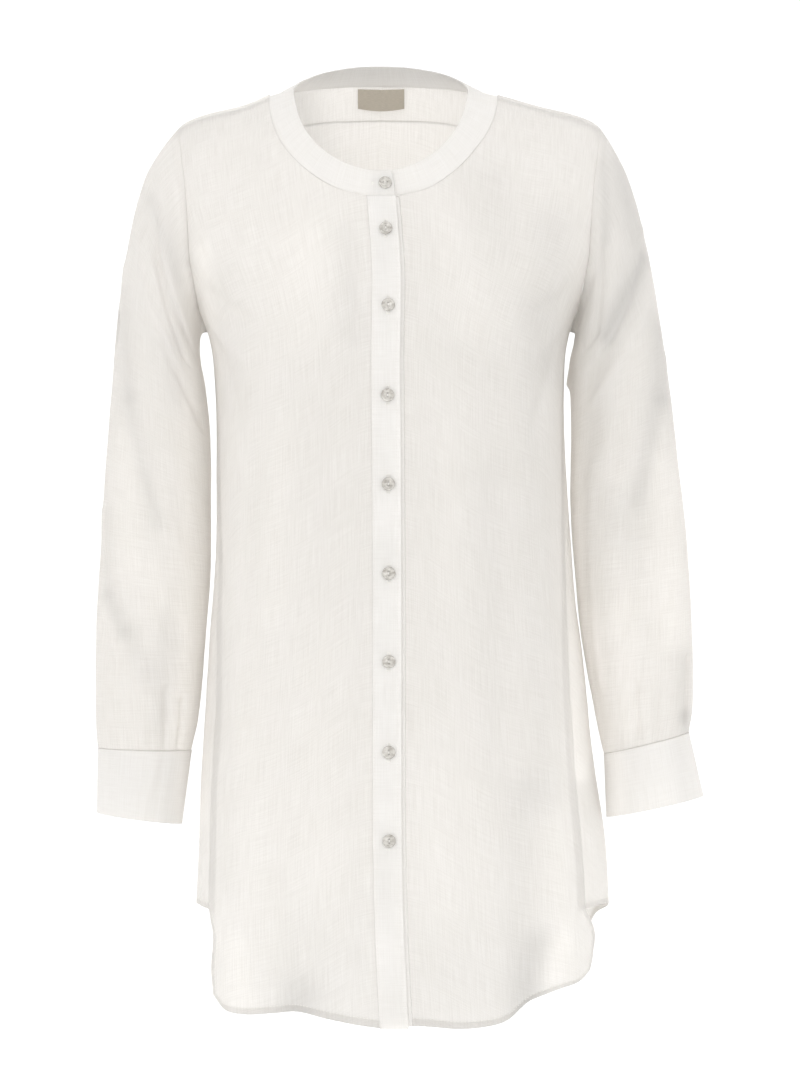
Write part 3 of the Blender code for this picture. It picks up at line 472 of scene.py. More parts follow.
def linenMaterial(name, openness, translucency, lift=1.0):
    # Plain weave with slubs both ways. It follows the cut through the piece's own UV map.
    material = bpy.data.materials.new(name)
    material.use_nodes = True
    tree = material.node_tree
    shader = tree.nodes["Principled BSDF"]
    output = tree.nodes["Material Output"]
    cut = addNode(tree, "ShaderNodeUVMap", uv_map="cut")
    parts = addNode(tree, "ShaderNodeSeparateXYZ")
    tree.links.new(cut.outputs["UV"], parts.inputs["Vector"])
    pitch = linen["threadPitch"]
    wobble = stretchedNoise(tree, cut.outputs["UV"], (260.0, 260.0, 1.0))
    sway = calculate(tree, "MULTIPLY", calculate(tree, "SUBTRACT", wobble, 0.5), pitch * 2.2)
    threads = []
    for axis in ("X", "Y"):
        place = calculate(tree, "ADD", parts.outputs[axis], sway)
        wave = calculate(tree, "SINE", calculate(tree, "MULTIPLY", place, math.tau / pitch))
        threads.append(calculate(tree, "MULTIPLY_ADD", wave, 0.5, 0.5))
    long, wide = 1.0 / linen["slubLength"], 1.0 / linen["slubWidth"]
    warpSlub = stretchedNoise(tree, cut.outputs["UV"], (wide, long, 1.0), 3.0)
    weftSlub = stretchedNoise(tree, cut.outputs["UV"], (long * 1.3, wide, 1.0), 3.0)
    slub = calculate(tree, "ADD", calculate(tree, "MULTIPLY", warpSlub, 0.55),
                     calculate(tree, "MULTIPLY", weftSlub, 0.45))
    cloud = stretchedNoise(tree, cut.outputs["UV"], (22.0, 18.0, 1.0), 3.0)
    weave = calculate(tree, "MAXIMUM", threads[0], threads[1])

    colour = rampBetween(tree, slub, 0.34, 0.64, linen["shade"], linen["colour"])
    tone = addNode(tree, "ShaderNodeMix", data_type="RGBA", blend_type="MULTIPLY")
    tone.inputs["Factor"].default_value = 1.0
    # The cloud is the linen's own uneven tone; lift lightens or darkens the whole copy, as painted shade on the
    # double layers and painted light on the top placket.
    cloudAndPaintedLight = rampBetween(tree, cloud, 0.3, 0.7, (0.985, 0.985, 0.98), (lift, lift, lift))
    tree.links.new(colour, tone.inputs[6])
    tree.links.new(cloudAndPaintedLight, tone.inputs[7])
    # The strokes' painted shade and painted light, from the shade layer, darken or lighten the colour.
    paintedShade = addNode(tree, "ShaderNodeAttribute", attribute_name="shade")
    lightness = calculate(tree, "ADD", paintedShade.outputs["Fac"], 1.0)
    shaded = addNode(tree, "ShaderNodeVectorMath", operation="SCALE")
    tree.links.new(tone.outputs[2], shaded.inputs[0])
    tree.links.new(lightness, shaded.inputs["Scale"])
    cloth = shaded.outputs["Vector"]
    tree.links.new(cloth, shader.inputs["Base Color"])
    shader.inputs["Roughness"].default_value = linen["roughness"]
    shader.inputs["Sheen Weight"].default_value = linen["sheen"]
    shader.inputs["Sheen Roughness"].default_value = 0.5
    shader.inputs["Specular IOR Level"].default_value = 0.2

    relief = calculate(tree, "ADD", calculate(tree, "MULTIPLY", weave, 0.5), slub)
    bump = addNode(tree, "ShaderNodeBump")
    bump.inputs["Strength"].default_value = linen["bump"]
    bump.inputs["Distance"].default_value = linen["bumpDepth"]
    tree.links.new(relief, bump.inputs["Height"])
    tree.links.new(bump.outputs["Normal"], shader.inputs["Normal"])

    through = addNode(tree, "ShaderNodeBsdfTranslucent")
    tree.links.new(cloth, through.inputs["Color"])
    tree.links.new(bump.outputs["Normal"], through.inputs["Normal"])
    lit = addNode(tree, "ShaderNodeMixShader")
    lit.inputs["Fac"].default_value = translucency
    tree.links.new(shader.outputs["BSDF"], lit.inputs[1])
    tree.links.new(through.outputs["BSDF"], lit.inputs[2])
    gaps = calculate(tree, "SUBTRACT", 1.25, calculate(tree, "MULTIPLY", slub, 0.9))
    gaps = calculate(tree, "MULTIPLY", gaps, calculate(tree, "SUBTRACT", 1.35, weave))
    clear = addNode(tree, "ShaderNodeBsdfTransparent")
    sheer = addNode(tree, "ShaderNodeMixShader")
    tree.links.new(calculate(tree, "MULTIPLY", gaps, openness), sheer.inputs["Fac"])
    tree.links.new(lit.outputs["Shader"], sheer.inputs[1])
    tree.links.new(clear.outputs["BSDF"], sheer.inputs[2])
    tree.links.new(sheer.outputs["Shader"], output.inputs["Surface"])
    return material


linenCloth = linenMaterial("linenCloth", linen["openness"], linen["translucency"])
# The double layers are painted a little darker and the top placket a little lighter than the single cloth, besides
# their own openness and translucency.
linenDouble = linenMaterial("linenDouble", linen["openness"] * 0.12, linen["translucency"] * 0.7, 0.98)
linenPlacket = linenMaterial("linenPlacket", linen["openness"] * 0.12, linen["translucency"] * 0.7, 1.03)
print("linen woven")

# Painted shade in the soft hollows and painted light on the swells of the drape, as darker and lighter strokes in
# the cloth's colour over the front view.
# The back carries the same strokes the other way round.

shading = {
    "backFacing": 0.25,   # normals that point further back than this belong to the back
    "darkest": -0.3,
    "lightest": 0.07,
}
shadeStroke = namedtuple("shadeStroke", "x z toX toZ halfWidth tone")
bodyShades = [
    # broad, from the chest down to the hem
    shadeStroke(-6.0, -22.0, -6.0, -84.0, 6.0, -0.03),
    shadeStroke(6.0, -10.0, 6.0, -84.0, 6.5, -0.035),
    shadeStroke(-12.0, -80.0, 12.0, -80.0, 9.0, -0.045),
    shadeStroke(-16.4, -14.0, -16.0, -21.0, 0.9, 0.05),
    # painted shade in the hollows of the wearer's left side, with painted light along its edge, from the armhole
    # down to the hem
    shadeStroke(14.6, -12.0, 14.6, -24.0, 2.2, -0.06),
    shadeStroke(16.6, -23.0, 17.2, -60.0, 1.0, 0.12),
    shadeStroke(12.6, -19.0, 13.6, -62.0, 1.9, -0.05),
    shadeStroke(9.6, -24.0, 10.4, -66.0, 2.0, -0.02),
    shadeStroke(12.0, -62.0, 11.4, -80.0, 2.0, -0.045),
    shadeStroke(13.2, -75.0, 12.2, -80.5, 1.4, -0.09),
    # the wearer's right side
    shadeStroke(-14.2, -16.0, -13.6, -27.0, 1.9, -0.02),
    shadeStroke(-16.2, -23.0, -17.2, -64.0, 1.1, 0.1),
    shadeStroke(-14.6, -48.0, -14.4, -70.0, 1.4, -0.025),
    shadeStroke(-7.6, -79.4, -8.2, -82.2, 1.9, -0.085),
    shadeStroke(-13.2, -75.5, -12.8, -80.0, 1.1, 0.03),
    shadeStroke(15.0, -75.0, 14.2, -78.0, 1.2, 0.05),
    # the chest
    shadeStroke(-3.6, -12.5, -3.0, -22.0, 1.2, -0.035),
    shadeStroke(-7.4, -14.0, -7.2, -21.0, 2.6, 0.03),
    shadeStroke(4.6, -9.5, 6.8, -20.0, 2.0, 0.025),
    shadeStroke(9.4, -8.0, 10.2, -14.0, 1.8, -0.02),
    shadeStroke(-2.6, -24.0, -2.6, -76.0, 0.9, -0.012),
    shadeStroke(-9.6, -30.0, -10.0, -46.0, 1.6, 0.015),
    shadeStroke(-6.4, -48.0, -6.0, -70.0, 1.8, 0.012),
    shadeStroke(5.0, -26.0, 5.4, -44.0, 1.4, 0.014),
    shadeStroke(8.4, -34.0, 9.0, -60.0, 1.4, -0.015),
    shadeStroke(4.4, -60.0, 4.8, -72.0, 1.6, 0.012),
]
# Painted shade in the sleeves' creases and painted light on their ridges and inner edges.
sleeveShades = [
    # broad, on the wearer's left sleeve
    shadeStroke(19.0, -4.0, 17.8, -16.0, 0.5, 0.07),
    shadeStroke(20.0, -8.0, 21.6, -38.0, 3.0, -0.045),
    # the wearer's right sleeve, at the left of the view
    shadeStroke(-21.2, -9.0, -18.6, -16.6, 0.55, -0.05),
    shadeStroke(-20.6, -15.0, -19.6, -20.0, 1.0, 0.02),
    shadeStroke(-19.6, -22.6, -18.6, -26.4, 1.2, -0.02),
    shadeStroke(-17.4, -16.0, -16.8, -23.0, 1.0, 0.09),
    shadeStroke(-16.6, -24.0, -16.8, -46.0, 1.7, 0.12),
    shadeStroke(-17.2, -46.0, -18.4, -58.0, 0.9, 0.1),
    shadeStroke(-19.0, -4.0, -17.8, -14.0, 0.5, 0.06),
    shadeStroke(-23.6, -17.5, -23.0, -27.0, 0.8, -0.045),
    shadeStroke(-23.0, -27.0, -20.6, -38.0, 0.8, -0.045),
    shadeStroke(-23.6, -31.0, -22.8, -41.5, 1.3, 0.025),
    shadeStroke(-25.2, -37.0, -25.0, -44.5, 0.55, -0.035),
    shadeStroke(-25.0, -44.5, -23.6, -47.6, 0.7, -0.07),
    shadeStroke(-23.0, -48.0, -21.4, -51.5, 1.1, -0.05),
    shadeStroke(-20.6, -43.0, -20.0, -46.0, 1.4, 0.02),
    shadeStroke(-19.8, -46.5, -20.4, -56.0, 0.9, -0.035),
    # the wearer's left sleeve
    shadeStroke(20.6, -4.5, 22.4, -13.0, 1.2, -0.07),
    shadeStroke(19.2, -6.0, 19.4, -13.0, 0.5, -0.05),
    shadeStroke(22.8, -14.5, 19.4, -21.5, 0.75, -0.13),
    shadeStroke(20.4, -12.5, 19.2, -17.5, 0.8, 0.03),
    shadeStroke(24.4, -20.5, 24.6, -27.0, 1.0, -0.09),
    shadeStroke(24.2, -27.0, 22.4, -36.0, 0.8, -0.06),
    shadeStroke(21.6, -22.0, 20.8, -34.0, 1.3, 0.035),
    shadeStroke(24.6, -33.0, 25.4, -48.0, 1.8, 0.045),
    shadeStroke(17.4, -14.0, 16.9, -20.0, 0.9, -0.02),
    shadeStroke(16.4, -23.0, 16.8, -44.0, 0.9, 0.1),
    shadeStroke(17.6, -46.0, 19.4, -58.0, 0.9, 0.1),
    shadeStroke(20.6, -46.0, 21.6, -56.0, 1.6, 0.04),
    shadeStroke(26.3, -50.0, 26.2, -55.5, 0.6, -0.05),
    shadeStroke(26.5, -55.2, 26.6, -57.0, 0.6, -0.1),
]
# Painted shade on the inside of the band at the back of the neck.
bandShades = [
    shadeStroke(-6.0, 3.2, 6.0, 3.2, 1.8, -0.15),
]
# Painted shade inside the back of the neck, with one stroke of painted light.
hollowShades = [
    shadeStroke(0.0, -1.0, 0.0, -8.0, 8.0, -0.008),
    shadeStroke(-17.0, -1.5, -9.0, 0.5, 1.3, 0.05),
    shadeStroke(8.6, 1.0, 6.6, -6.0, 2.2, -0.07),
]
# Painted shade and painted light on the cuffs.
cuffShades = [
    shadeStroke(-18.2, -58.8, -18.6, -65.0, 0.8, 0.06),
    shadeStroke(-24.0, -58.0, -22.0, -65.0, 3.0, -0.03),
    shadeStroke(-19.6, -59.2, -19.8, -65.0, 0.7, -0.03),
    shadeStroke(20.2, -58.0, 20.2, -65.0, 0.8, 0.1),
    shadeStroke(26.0, -58.0, 26.6, -62.5, 0.8, -0.03),
]


def shadeAt(points, normals, strokes):
    # How much painted shade or painted light the cloth carries at its points.
    across = np.where(normals[..., 1] > shading["backFacing"], -points[..., 0], points[..., 0])
    here = np.stack([across, points[..., 2]], axis=-1)
    tone = np.zeros(across.shape)
    for stroke in strokes:
        start = np.array([stroke.x, stroke.z])
        way = np.array([stroke.toX, stroke.toZ]) - start
        part = np.clip(((here - start) @ way) / (way @ way), 0.0, 1.0)
        off = np.linalg.norm(here - start - part[..., None] * way, axis=-1)
        tone = tone + stroke.tone * np.exp(-(off / stroke.halfWidth) ** 2)
    return np.clip(tone, shading["darkest"], shading["lightest"])


# Cloth pieces: a grid laid on the form, with a thin wall under it


clothWall = {"single": 0.0005, "double": 0.0011, "allowance": 0.0004, "seamDip": 0.014, "seamWidth": 0.14}


def gridNormals(points, closed=False):
    if closed:
        across = np.roll(points[:, :-1], -1, axis=1) - np.roll(points[:, :-1], 1, axis=1)
        across = np.concatenate([across, across[:, :1]], axis=1)
    else:
        across = np.gradient(points, axis=1)
    return unit(np.cross(across, np.gradient(points, axis=0)))


def clothPiece(name, grids, material, wall, shades=()):
    # Each grid holds rows of outer points and normals in cm, and the cut's coordinates in cm.
    bm = bmesh.new()
    uvLayer = bm.loops.layers.uv.new("cut")
    # The shade layer holds each point's painted shade or painted light from the strokes.
    shadeLayer = bm.verts.layers.float.new("shade")
    for points, normals, cut in grids:
        rows, columns = points.shape[:2]
        known = set(bm.verts)
        bmesh.ops.create_grid(bm, x_segments=columns - 1, y_segments=rows - 1, size=1.0)
        fresh = [vert for vert in bm.verts if vert not in known]
        places = (points * cm).reshape(-1, 3)
        flat = (cut * cm).reshape(-1, 2)
        tones = shadeAt(points, normals, shades).reshape(-1)
        order = {}
        for index, (vert, place) in enumerate(zip(fresh, places)):
            vert.co = place
            vert[shadeLayer] = tones[index]
            order[vert] = index
        faces = [face for face in bm.faces if face.verts[0] in order]
        for face in faces:
            for loop in face.loops:
                loop[uvLayer].uv = flat[order[loop.vert]]
        middle = faces[len(faces) // 2]
        middle.normal_update()
        if middle.normal.dot(Vector(normals.reshape(-1, 3)[order[middle.verts[0]]])) < 0:
            bmesh.ops.reverse_faces(bm, faces=faces)
    bmesh.ops.remove_doubles(bm, verts=bm.verts, dist=0.000004)
    for face in bm.faces:
        face.smooth = True
    mesh = bpy.data.meshes.new(name)
    bm.to_mesh(mesh)
    bm.free()
    piece = bpy.data.objects.new(name, mesh)
    bpy.context.scene.collection.objects.link(piece)
    mesh.materials.append(material)
    shell = piece.modifiers.new("wall", "SOLIDIFY")
    shell.thickness = wall
    shell.offset = -1.0
    shell.use_even_offset = False
    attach(piece, "root")
    sheets[name] = grids
    return piece


def coons(bottom, top, inner, outer, across, along):
    # Points of a sheet between its four edges.
    u, v = across[None, :, None], along[:, None, None]
    edges = mix(bottom[None], top[None], v) + mix(inner[:, None], outer[:, None], u)
    return edges - mix(mix(bottom[0], bottom[-1], u), mix(top[0], top[-1], u), v)


def bodyGrid(side, chart, dip=0.0):
    # Outer points, normals and cut of a stretch of the body's chart of angle and way down.
    angle, down = chart[..., 0], chart[..., 1]
    sides = np.where(angle > 179.99, right, side)
    points = bodyPoint(sides, angle, down)
    normals = bodyNormal(sides, angle, down)
    rise = bodyRise(sides, angle, down, points) - dip
    cut = np.stack([side * angle * crumple["cmPerDegree"], -down], axis=-1)
    return points + normals * rise[..., None], normals, cut


# Fronts

frontCut = {
    "columns": 66,
    "rowsPerStep": 11,
    "shoulderNeck": 3.9,
    "shoulderArm": 3.6,
    "seamRows": 11,
    "sideSeamFoot": -72.2,
    "sideSeamTop": -20.9,
    "underPlacket": 0.3,
    "hemRows": (0.03, 0.08, 0.15, 0.212),   # the last is 6 mm up
    "corners": (3, 14, 16),
    "flat": (0.22, 0.84),
    "area": 0.142,
}
sideSeam = {
    "at": (-72.2, -60.0, -52.0, -45.0, -36.0, -30.0, -25.0, -20.9),
    "angle": (60.0, 61.5, 63.5, 68.5, 76.0, 81.0, 86.0, 90.0),
}
tailEdge = {   # angle and height of a front's edge below the side seam
    right: [(57.0, -79.7), (58.2, -77.4), (56.8, -74.6)],
    left: [(61.0, -77.6), (63.8, -76.2), (65.6, -74.3)],
}
frontHem = {
    right: {
        "at": (-8.0, 2.0, 10.0, 18.0, 26.0, 34.0, 42.0, 50.0, 57.0),
        "height": (-82.1, -82.1, -81.8, -81.3, -80.75, -80.95, -81.15, -80.85, -79.7),
    },
    left: {
        "at": (-8.0, 6.0, 17.0, 25.0, 30.0, 34.5, 38.0, 45.0, 54.0, 61.0),
        "height": (-82.0, -81.9, -82.15, -81.95, -81.5, -80.65, -79.9, -79.1, -78.45, -77.6),
    },
}
frontArmhole = [   # height and way out, from the side seam up to the shoulder seam
    (-20.9, 16.25), (-19.7, 16.7), (-18.0, 17.1), (-16.0, 17.5), (-13.5, 17.85),
    (-10.8, 18.0), (-7.9, 18.25), (-5.2, 18.6), (-2.87, 18.9),
]
frontNeck = [   # way out and height of the neck seam, from the placket to the shoulder seam
    (0.0, -9.4), (1.42, -9.36), (4.2, -8.55), (6.5, -6.95), (8.2, -5.15), (9.4, -3.3),
    (10.05, -1.4), (10.25, 0.2),
]


def asArray(pairs):
    return np.array([(float(first), float(second)) for first, second in pairs])


def shoulderSeam(across):
    neck = angleAt(frontNeck[-1][0], frontNeck[-1][1])
    arm = angleAt(frontArmhole[-1][1], frontArmhole[-1][0])
    down = mix(frontCut["shoulderNeck"], frontCut["shoulderArm"], across)
    return mix(neck, arm, across), down


def seamHeights():
    return np.linspace(frontCut["sideSeamFoot"], frontCut["sideSeamTop"], frontCut["seamRows"] + 1)


def frontChart(side, across, rowsPerStep):
    edgeOut = body["placketSeam"] - (frontCut["underPlacket"] if side == right else 0.0)
    hem = frontHem[side]
    seamAngle, seamDown = shoulderSeam(across)
    top = np.stack([seamAngle, heightAt(seamAngle, seamDown)], axis=-1)
    hemHeight = hem["height"][1]
    hemAngle = mix(angleAt(edgeOut, hemHeight), tailEdge[side][0][0], across)
    bottom = np.stack([hemAngle, readTable(hem, "height", hemAngle)], axis=-1)
    outer = list(tailEdge[side])
    outer += [(readTable(sideSeam, "angle", height), height) for height in seamHeights()]
    outer += [(angleAt(out, height), height) for height, out in frontArmhole[1:-1]]
    outer.append(top[-1])
    neckStart = frontNeck[1][1]
    tailRows = len(tailEdge[side])
    heights = list(np.linspace(bottom[0][1], frontCut["sideSeamFoot"], tailRows + 1)[:-1])
    heights += list(seamHeights())
    heights += [mix(frontCut["sideSeamTop"], neckStart, row / 2) for row in (1, 2)]
    inner = [(angleAt(edgeOut, height), height) for height in heights]
    inner += [(angleAt(out, height), height) for out, height in frontNeck[2:-1]]
    inner.append(top[0])
    steps = len(outer) - 1
    at = np.linspace(0, steps, steps * rowsPerStep + 1)
    extra = np.array(frontCut["hemRows"])
    at = np.unique(np.concatenate([at, extra, steps - extra]))
    innerLine = throughPoints(asArray(inner), at, frontCut["corners"])
    outerLine = throughPoints(asArray(outer), at, frontCut["corners"])
    chart = coons(bottom, top, innerLine, outerLine, across, at / steps)
    chart[..., 1] = downAt(chart[..., 0], chart[..., 1])
    return chart, at


def seamDip(*ways):
    # How deep the cloth dips at ways off, in cm, from its seams.
    return sum(clothWall["seamDip"] * np.exp(-(way / clothWall["seamWidth"]) ** 2) for way in ways)


def buildFront(name, side):
    across = spread(frontCut["columns"], 0.012)
    chart, at = frontChart(side, across, frontCut["rowsPerStep"])
    isSeam = ease(frontCut["corners"][0] - 0.1, frontCut["corners"][0] + 0.1, at)[:, None]
    dip = seamDip((1.0 - across)[None, :] * 17.0) * isSeam + seamDip((at[-1] - at)[:, None] * 1.9)
    piece = clothPiece(f"cloth_{name}", [bodyGrid(side, chart, dip)], linenCloth, clothWall["single"],
                       shades=bodyShades)
    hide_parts(name)
    return piece, chart, at


frontRight, frontRightChart, frontAt = buildFront("front_right", right)
frontLeft, frontLeftChart, _ = buildFront("front_left", left)
print("fronts cut")

# Yoke and back

yokeCut = {
    "columns": 54,
    "rowsPerStep": 9,
    "armDown": (0.0, 2.5, 5.0, 7.2, 9.2, 11.2),
    "foot": {"at": (0.0, 6.0, 12.0, 18.6), "height": (-1.2, -1.5, -3.1, -6.8)},
    "arm": {"at": (-6.8, -4.5, -2.4), "out": (18.6, 18.85, 19.0)},
    "corner": 6,
    "ridgeRow": 1,
    "flat": (0.41, 0.13),
    "area": 0.0235,
}
backNeck = [(10.2, 0.37), (9.1, 0.83), (7.0, 1.3), (4.8, 1.6), (2.4, 1.76), (0.0, 1.8)]
backCut = {
    "columns": 66,
    "rowsPerStep": 11,
    "hemRows": (0.02, 0.05, 0.105),
    "corner": 11,
    "flat": (0.56, 0.84),
    "area": 0.39,
}
backArmhole = [
    (-20.9, 16.25), (-19.4, 16.85), (-17.4, 17.45), (-15.0, 17.9), (-12.3, 18.2), (-9.5, 18.4), (-6.8, 18.6),
]
backHem = {
    "at": (60.0, 68.0, 80.0, 92.0, 102.0, 110.0, 118.0, 126.0, 134.0, 142.0, 152.0, 164.0, 180.0),
    "height": (-72.2, -72.1, -72.15, -72.3, -72.8, -73.4, -74.5, -76.1, -78.3, -80.4, -82.3, -83.3, -83.5),
}


def yokeArmAngle(down):
    angle = angleAt(yokeCut["arm"]["out"][-1], yokeCut["arm"]["at"][-1], back=True)
    for _ in range(4):
        height = heightAt(angle, down)
        angle = angleAt(readTable(yokeCut["arm"], "out", height), height, back=True)
    return angle


def yokeFoot(across):
    # Angle and height of the back yoke seam, from the centre back to the armhole.
    foot = yokeCut["foot"]
    end = angleAt(foot["at"][-1], foot["height"][-1], back=True)
    angle = mix(180.0, end, across)
    out = readTable(bodyForm, "halfWidth", foot["height"][0]) * np.sin(np.radians(angle)) * squareAt(angle)
    height = readTable(foot, "height", out)
    height = np.where(across > 1 - 1e-9, foot["height"][-1], height)
    return angle, height


def yokeChart(across, rowsPerStep):
    seamAngle, seamDown = shoulderSeam(across)
    top = np.stack([180.0 - seamAngle, -seamDown], axis=-1)
    footAngle, footHeight = yokeFoot(across)
    bottom = np.stack([footAngle, downAt(footAngle, footHeight)], axis=-1)
    neck = [top[0]]
    for out, height in backNeck:
        angle = angleAt(out, height, back=True)
        neck.append((angle, downAt(angle, height)))
    neck.append(bottom[0])
    arm = [top[-1]] + [(yokeArmAngle(down), down) for down in yokeCut["armDown"]] + [bottom[-1]]
    steps = len(arm) - 1
    close = np.array([0.02, 0.045, 0.075])
    at = np.linspace(0, steps, steps * rowsPerStep + 1)
    at = np.unique(np.concatenate([at, close, steps - close]))
    neckLine = throughPoints(asArray(neck), at, (yokeCut["corner"],))
    armLine = throughPoints(asArray(arm), at)
    return coons(top, bottom, neckLine, armLine, across, at / steps), at


def backChart(across, rowsPerStep):
    footAngle, footHeight = yokeFoot(across)
    top = np.stack([footAngle, footHeight], axis=-1)
    hemAngle = mix(180.0, sideSeam["angle"][0], across)
    bottom = np.stack([hemAngle, readTable(backHem, "height", hemAngle)], axis=-1)
    outer = [(readTable(sideSeam, "angle", height), height) for height in seamHeights()]
    outer += [(angleAt(out, height, back=True), height) for height, out in backArmhole[1:-1]]
    outer.append(top[-1])
    seamTop = frontCut["sideSeamTop"]
    heights = list(np.linspace(bottom[0][1], seamTop, frontCut["seamRows"] + 1))
    heights += list(np.linspace(seamTop, top[0][1], len(backArmhole))[1:])
    inner = [(180.0, height) for height in heights]
    steps = len(outer) - 1
    at = np.linspace(0, steps, steps * rowsPerStep + 1)
    at = np.unique(np.concatenate([at, backCut["hemRows"]]))
    innerLine = throughPoints(asArray(inner), at, (backCut["corner"],))
    outerLine = throughPoints(asArray(outer), at, (backCut["corner"],))
    chart = coons(bottom, top, innerLine, outerLine, across, at / steps)
    chart[..., 1] = downAt(chart[..., 0], chart[..., 1])
    return chart, at


def buildHalves(name, chart, dip):
    grids = [bodyGrid(side, chart, dip) for side in (right, left)]
    piece = clothPiece(f"cloth_{name}", grids, linenCloth, clothWall["single"],
                       shades=bodyShades + hollowShades)
    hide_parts(name)
    return piece


yokeAcross = spread(yokeCut["columns"], 0.02)
yokeHalf, yokeAt = yokeChart(yokeAcross, yokeCut["rowsPerStep"])
yoke = buildHalves("yoke", yokeHalf, seamDip(
    (1.0 - yokeAcross)[None, :] * 9.0, yokeAt[:, None] * 3.8, (yokeAt[-1] - yokeAt)[:, None] * 2.4))
backAcross = spread(backCut["columns"], 0.012)
backHalf, backAt = backChart(backAcross, backCut["rowsPerStep"])
back = buildHalves("back", backHalf, seamDip(
    (1.0 - backAcross)[None, :] * 18.0, (backAt[-1] - backAt)[:, None] * 2.4))
print("yoke and back cut")

# Sleeves

sleeve = {
    "rows": 168,
    "crowding": 1.15,
    "capShare": 0.2,
    "length": 57.0,
    "radius": 5.0,
    "seamGap": 0.015,
    "foldGain": 1.5,
    "flat": (0.34, 0.58),
    "area": 0.15,
}
sleeveForm = {
    right: {
        "at": (0.0, 0.04, 0.09, 0.18, 0.3, 0.42, 0.56, 0.7, 0.84, 0.95, 1.0),
        "outerX": (19.0, 20.5, 21.9, 23.1, 24.2, 24.9, 25.5, 26.0, 26.2, 26.15, 26.0),
        "outerZ": (-2.5, -4.5, -7.0, -11.8, -18.5, -25.5, -33.5, -41.5, -49.5, -55.6, -58.2),
        "innerX": (16.3, 16.75, 16.95, 16.9, 16.4, 15.98, 15.9, 15.98, 16.5, 17.0, 17.6),
        "innerZ": (-20.85, -21.0, -21.7, -23.4, -26.2, -30.5, -36.8, -43.0, -50.0, -55.6, -58.4),
        "halfDepth": (4.9, 5.2, 5.6, 6.0, 6.0, 5.8, 5.4, 5.0, 4.6, 4.2, 3.6),
        "centreY": (0.0, 0.0, 0.1, 0.2, 0.4, 0.6, 0.6, 0.3, -0.5, -1.2, -1.4),
    },
    left: {
        "at": (0.0, 0.04, 0.09, 0.18, 0.3, 0.42, 0.56, 0.7, 0.84, 0.95, 1.0),
        "outerX": (19.0, 20.3, 21.65, 23.0, 24.25, 25.35, 26.25, 27.0, 27.4, 27.35, 27.0),
        "outerZ": (-2.5, -4.5, -7.2, -12.0, -18.5, -25.5, -33.5, -41.5, -49.0, -54.6, -56.8),
        "innerX": (16.3, 16.8, 16.75, 16.6, 16.45, 16.45, 16.45, 16.85, 17.75, 18.7, 19.35),
        "innerZ": (-20.85, -21.0, -21.8, -23.5, -25.8, -30.0, -36.5, -43.0, -50.5, -56.0, -58.7),
        "halfDepth": (4.9, 5.2, 5.6, 6.0, 6.0, 5.8, 5.4, 5.0, 4.6, 4.2, 3.6),
        "centreY": (0.0, 0.0, 0.1, 0.2, 0.4, 0.6, 0.6, 0.3, -0.5, -1.1, -1.3),
    },
}
sleeveFold = namedtuple("sleeveFold", "share turn toShare toTurn halfWidth depth")
largeFolds = {   # the sleeve's main creases, drawn inwards; 0 degrees is the outer line, 90 the front
    right: [
        sleeveFold(0.12, 45.0, 0.2, 160.0, 1.5, 0.45),
        sleeveFold(0.33, 8.0, 0.6, 92.0, 1.6, 0.4),
        sleeveFold(0.7, 26.0, 0.8, 58.0, 1.4, 0.5),
        sleeveFold(0.22, 215.0, 0.32, 300.0, 1.6, 0.45),
        sleeveFold(0.62, 240.0, 0.72, 330.0, 1.5, 0.45),
    ],
    left: [
        sleeveFold(0.21, 30.0, 0.32, 118.0, 1.5, 0.55),
        sleeveFold(0.42, 40.0, 0.64, 84.0, 1.6, 0.4),
        sleeveFold(0.36, 128.0, 0.95, 158.0, 1.4, 0.3),
        sleeveFold(0.2, 225.0, 0.34, 305.0, 1.6, 0.45),
        sleeveFold(0.6, 235.0, 0.7, 320.0, 1.5, 0.45),
        sleeveFold(0.14, 204.0, 0.27, 204.0, 2.0, -0.8),
    ],
}
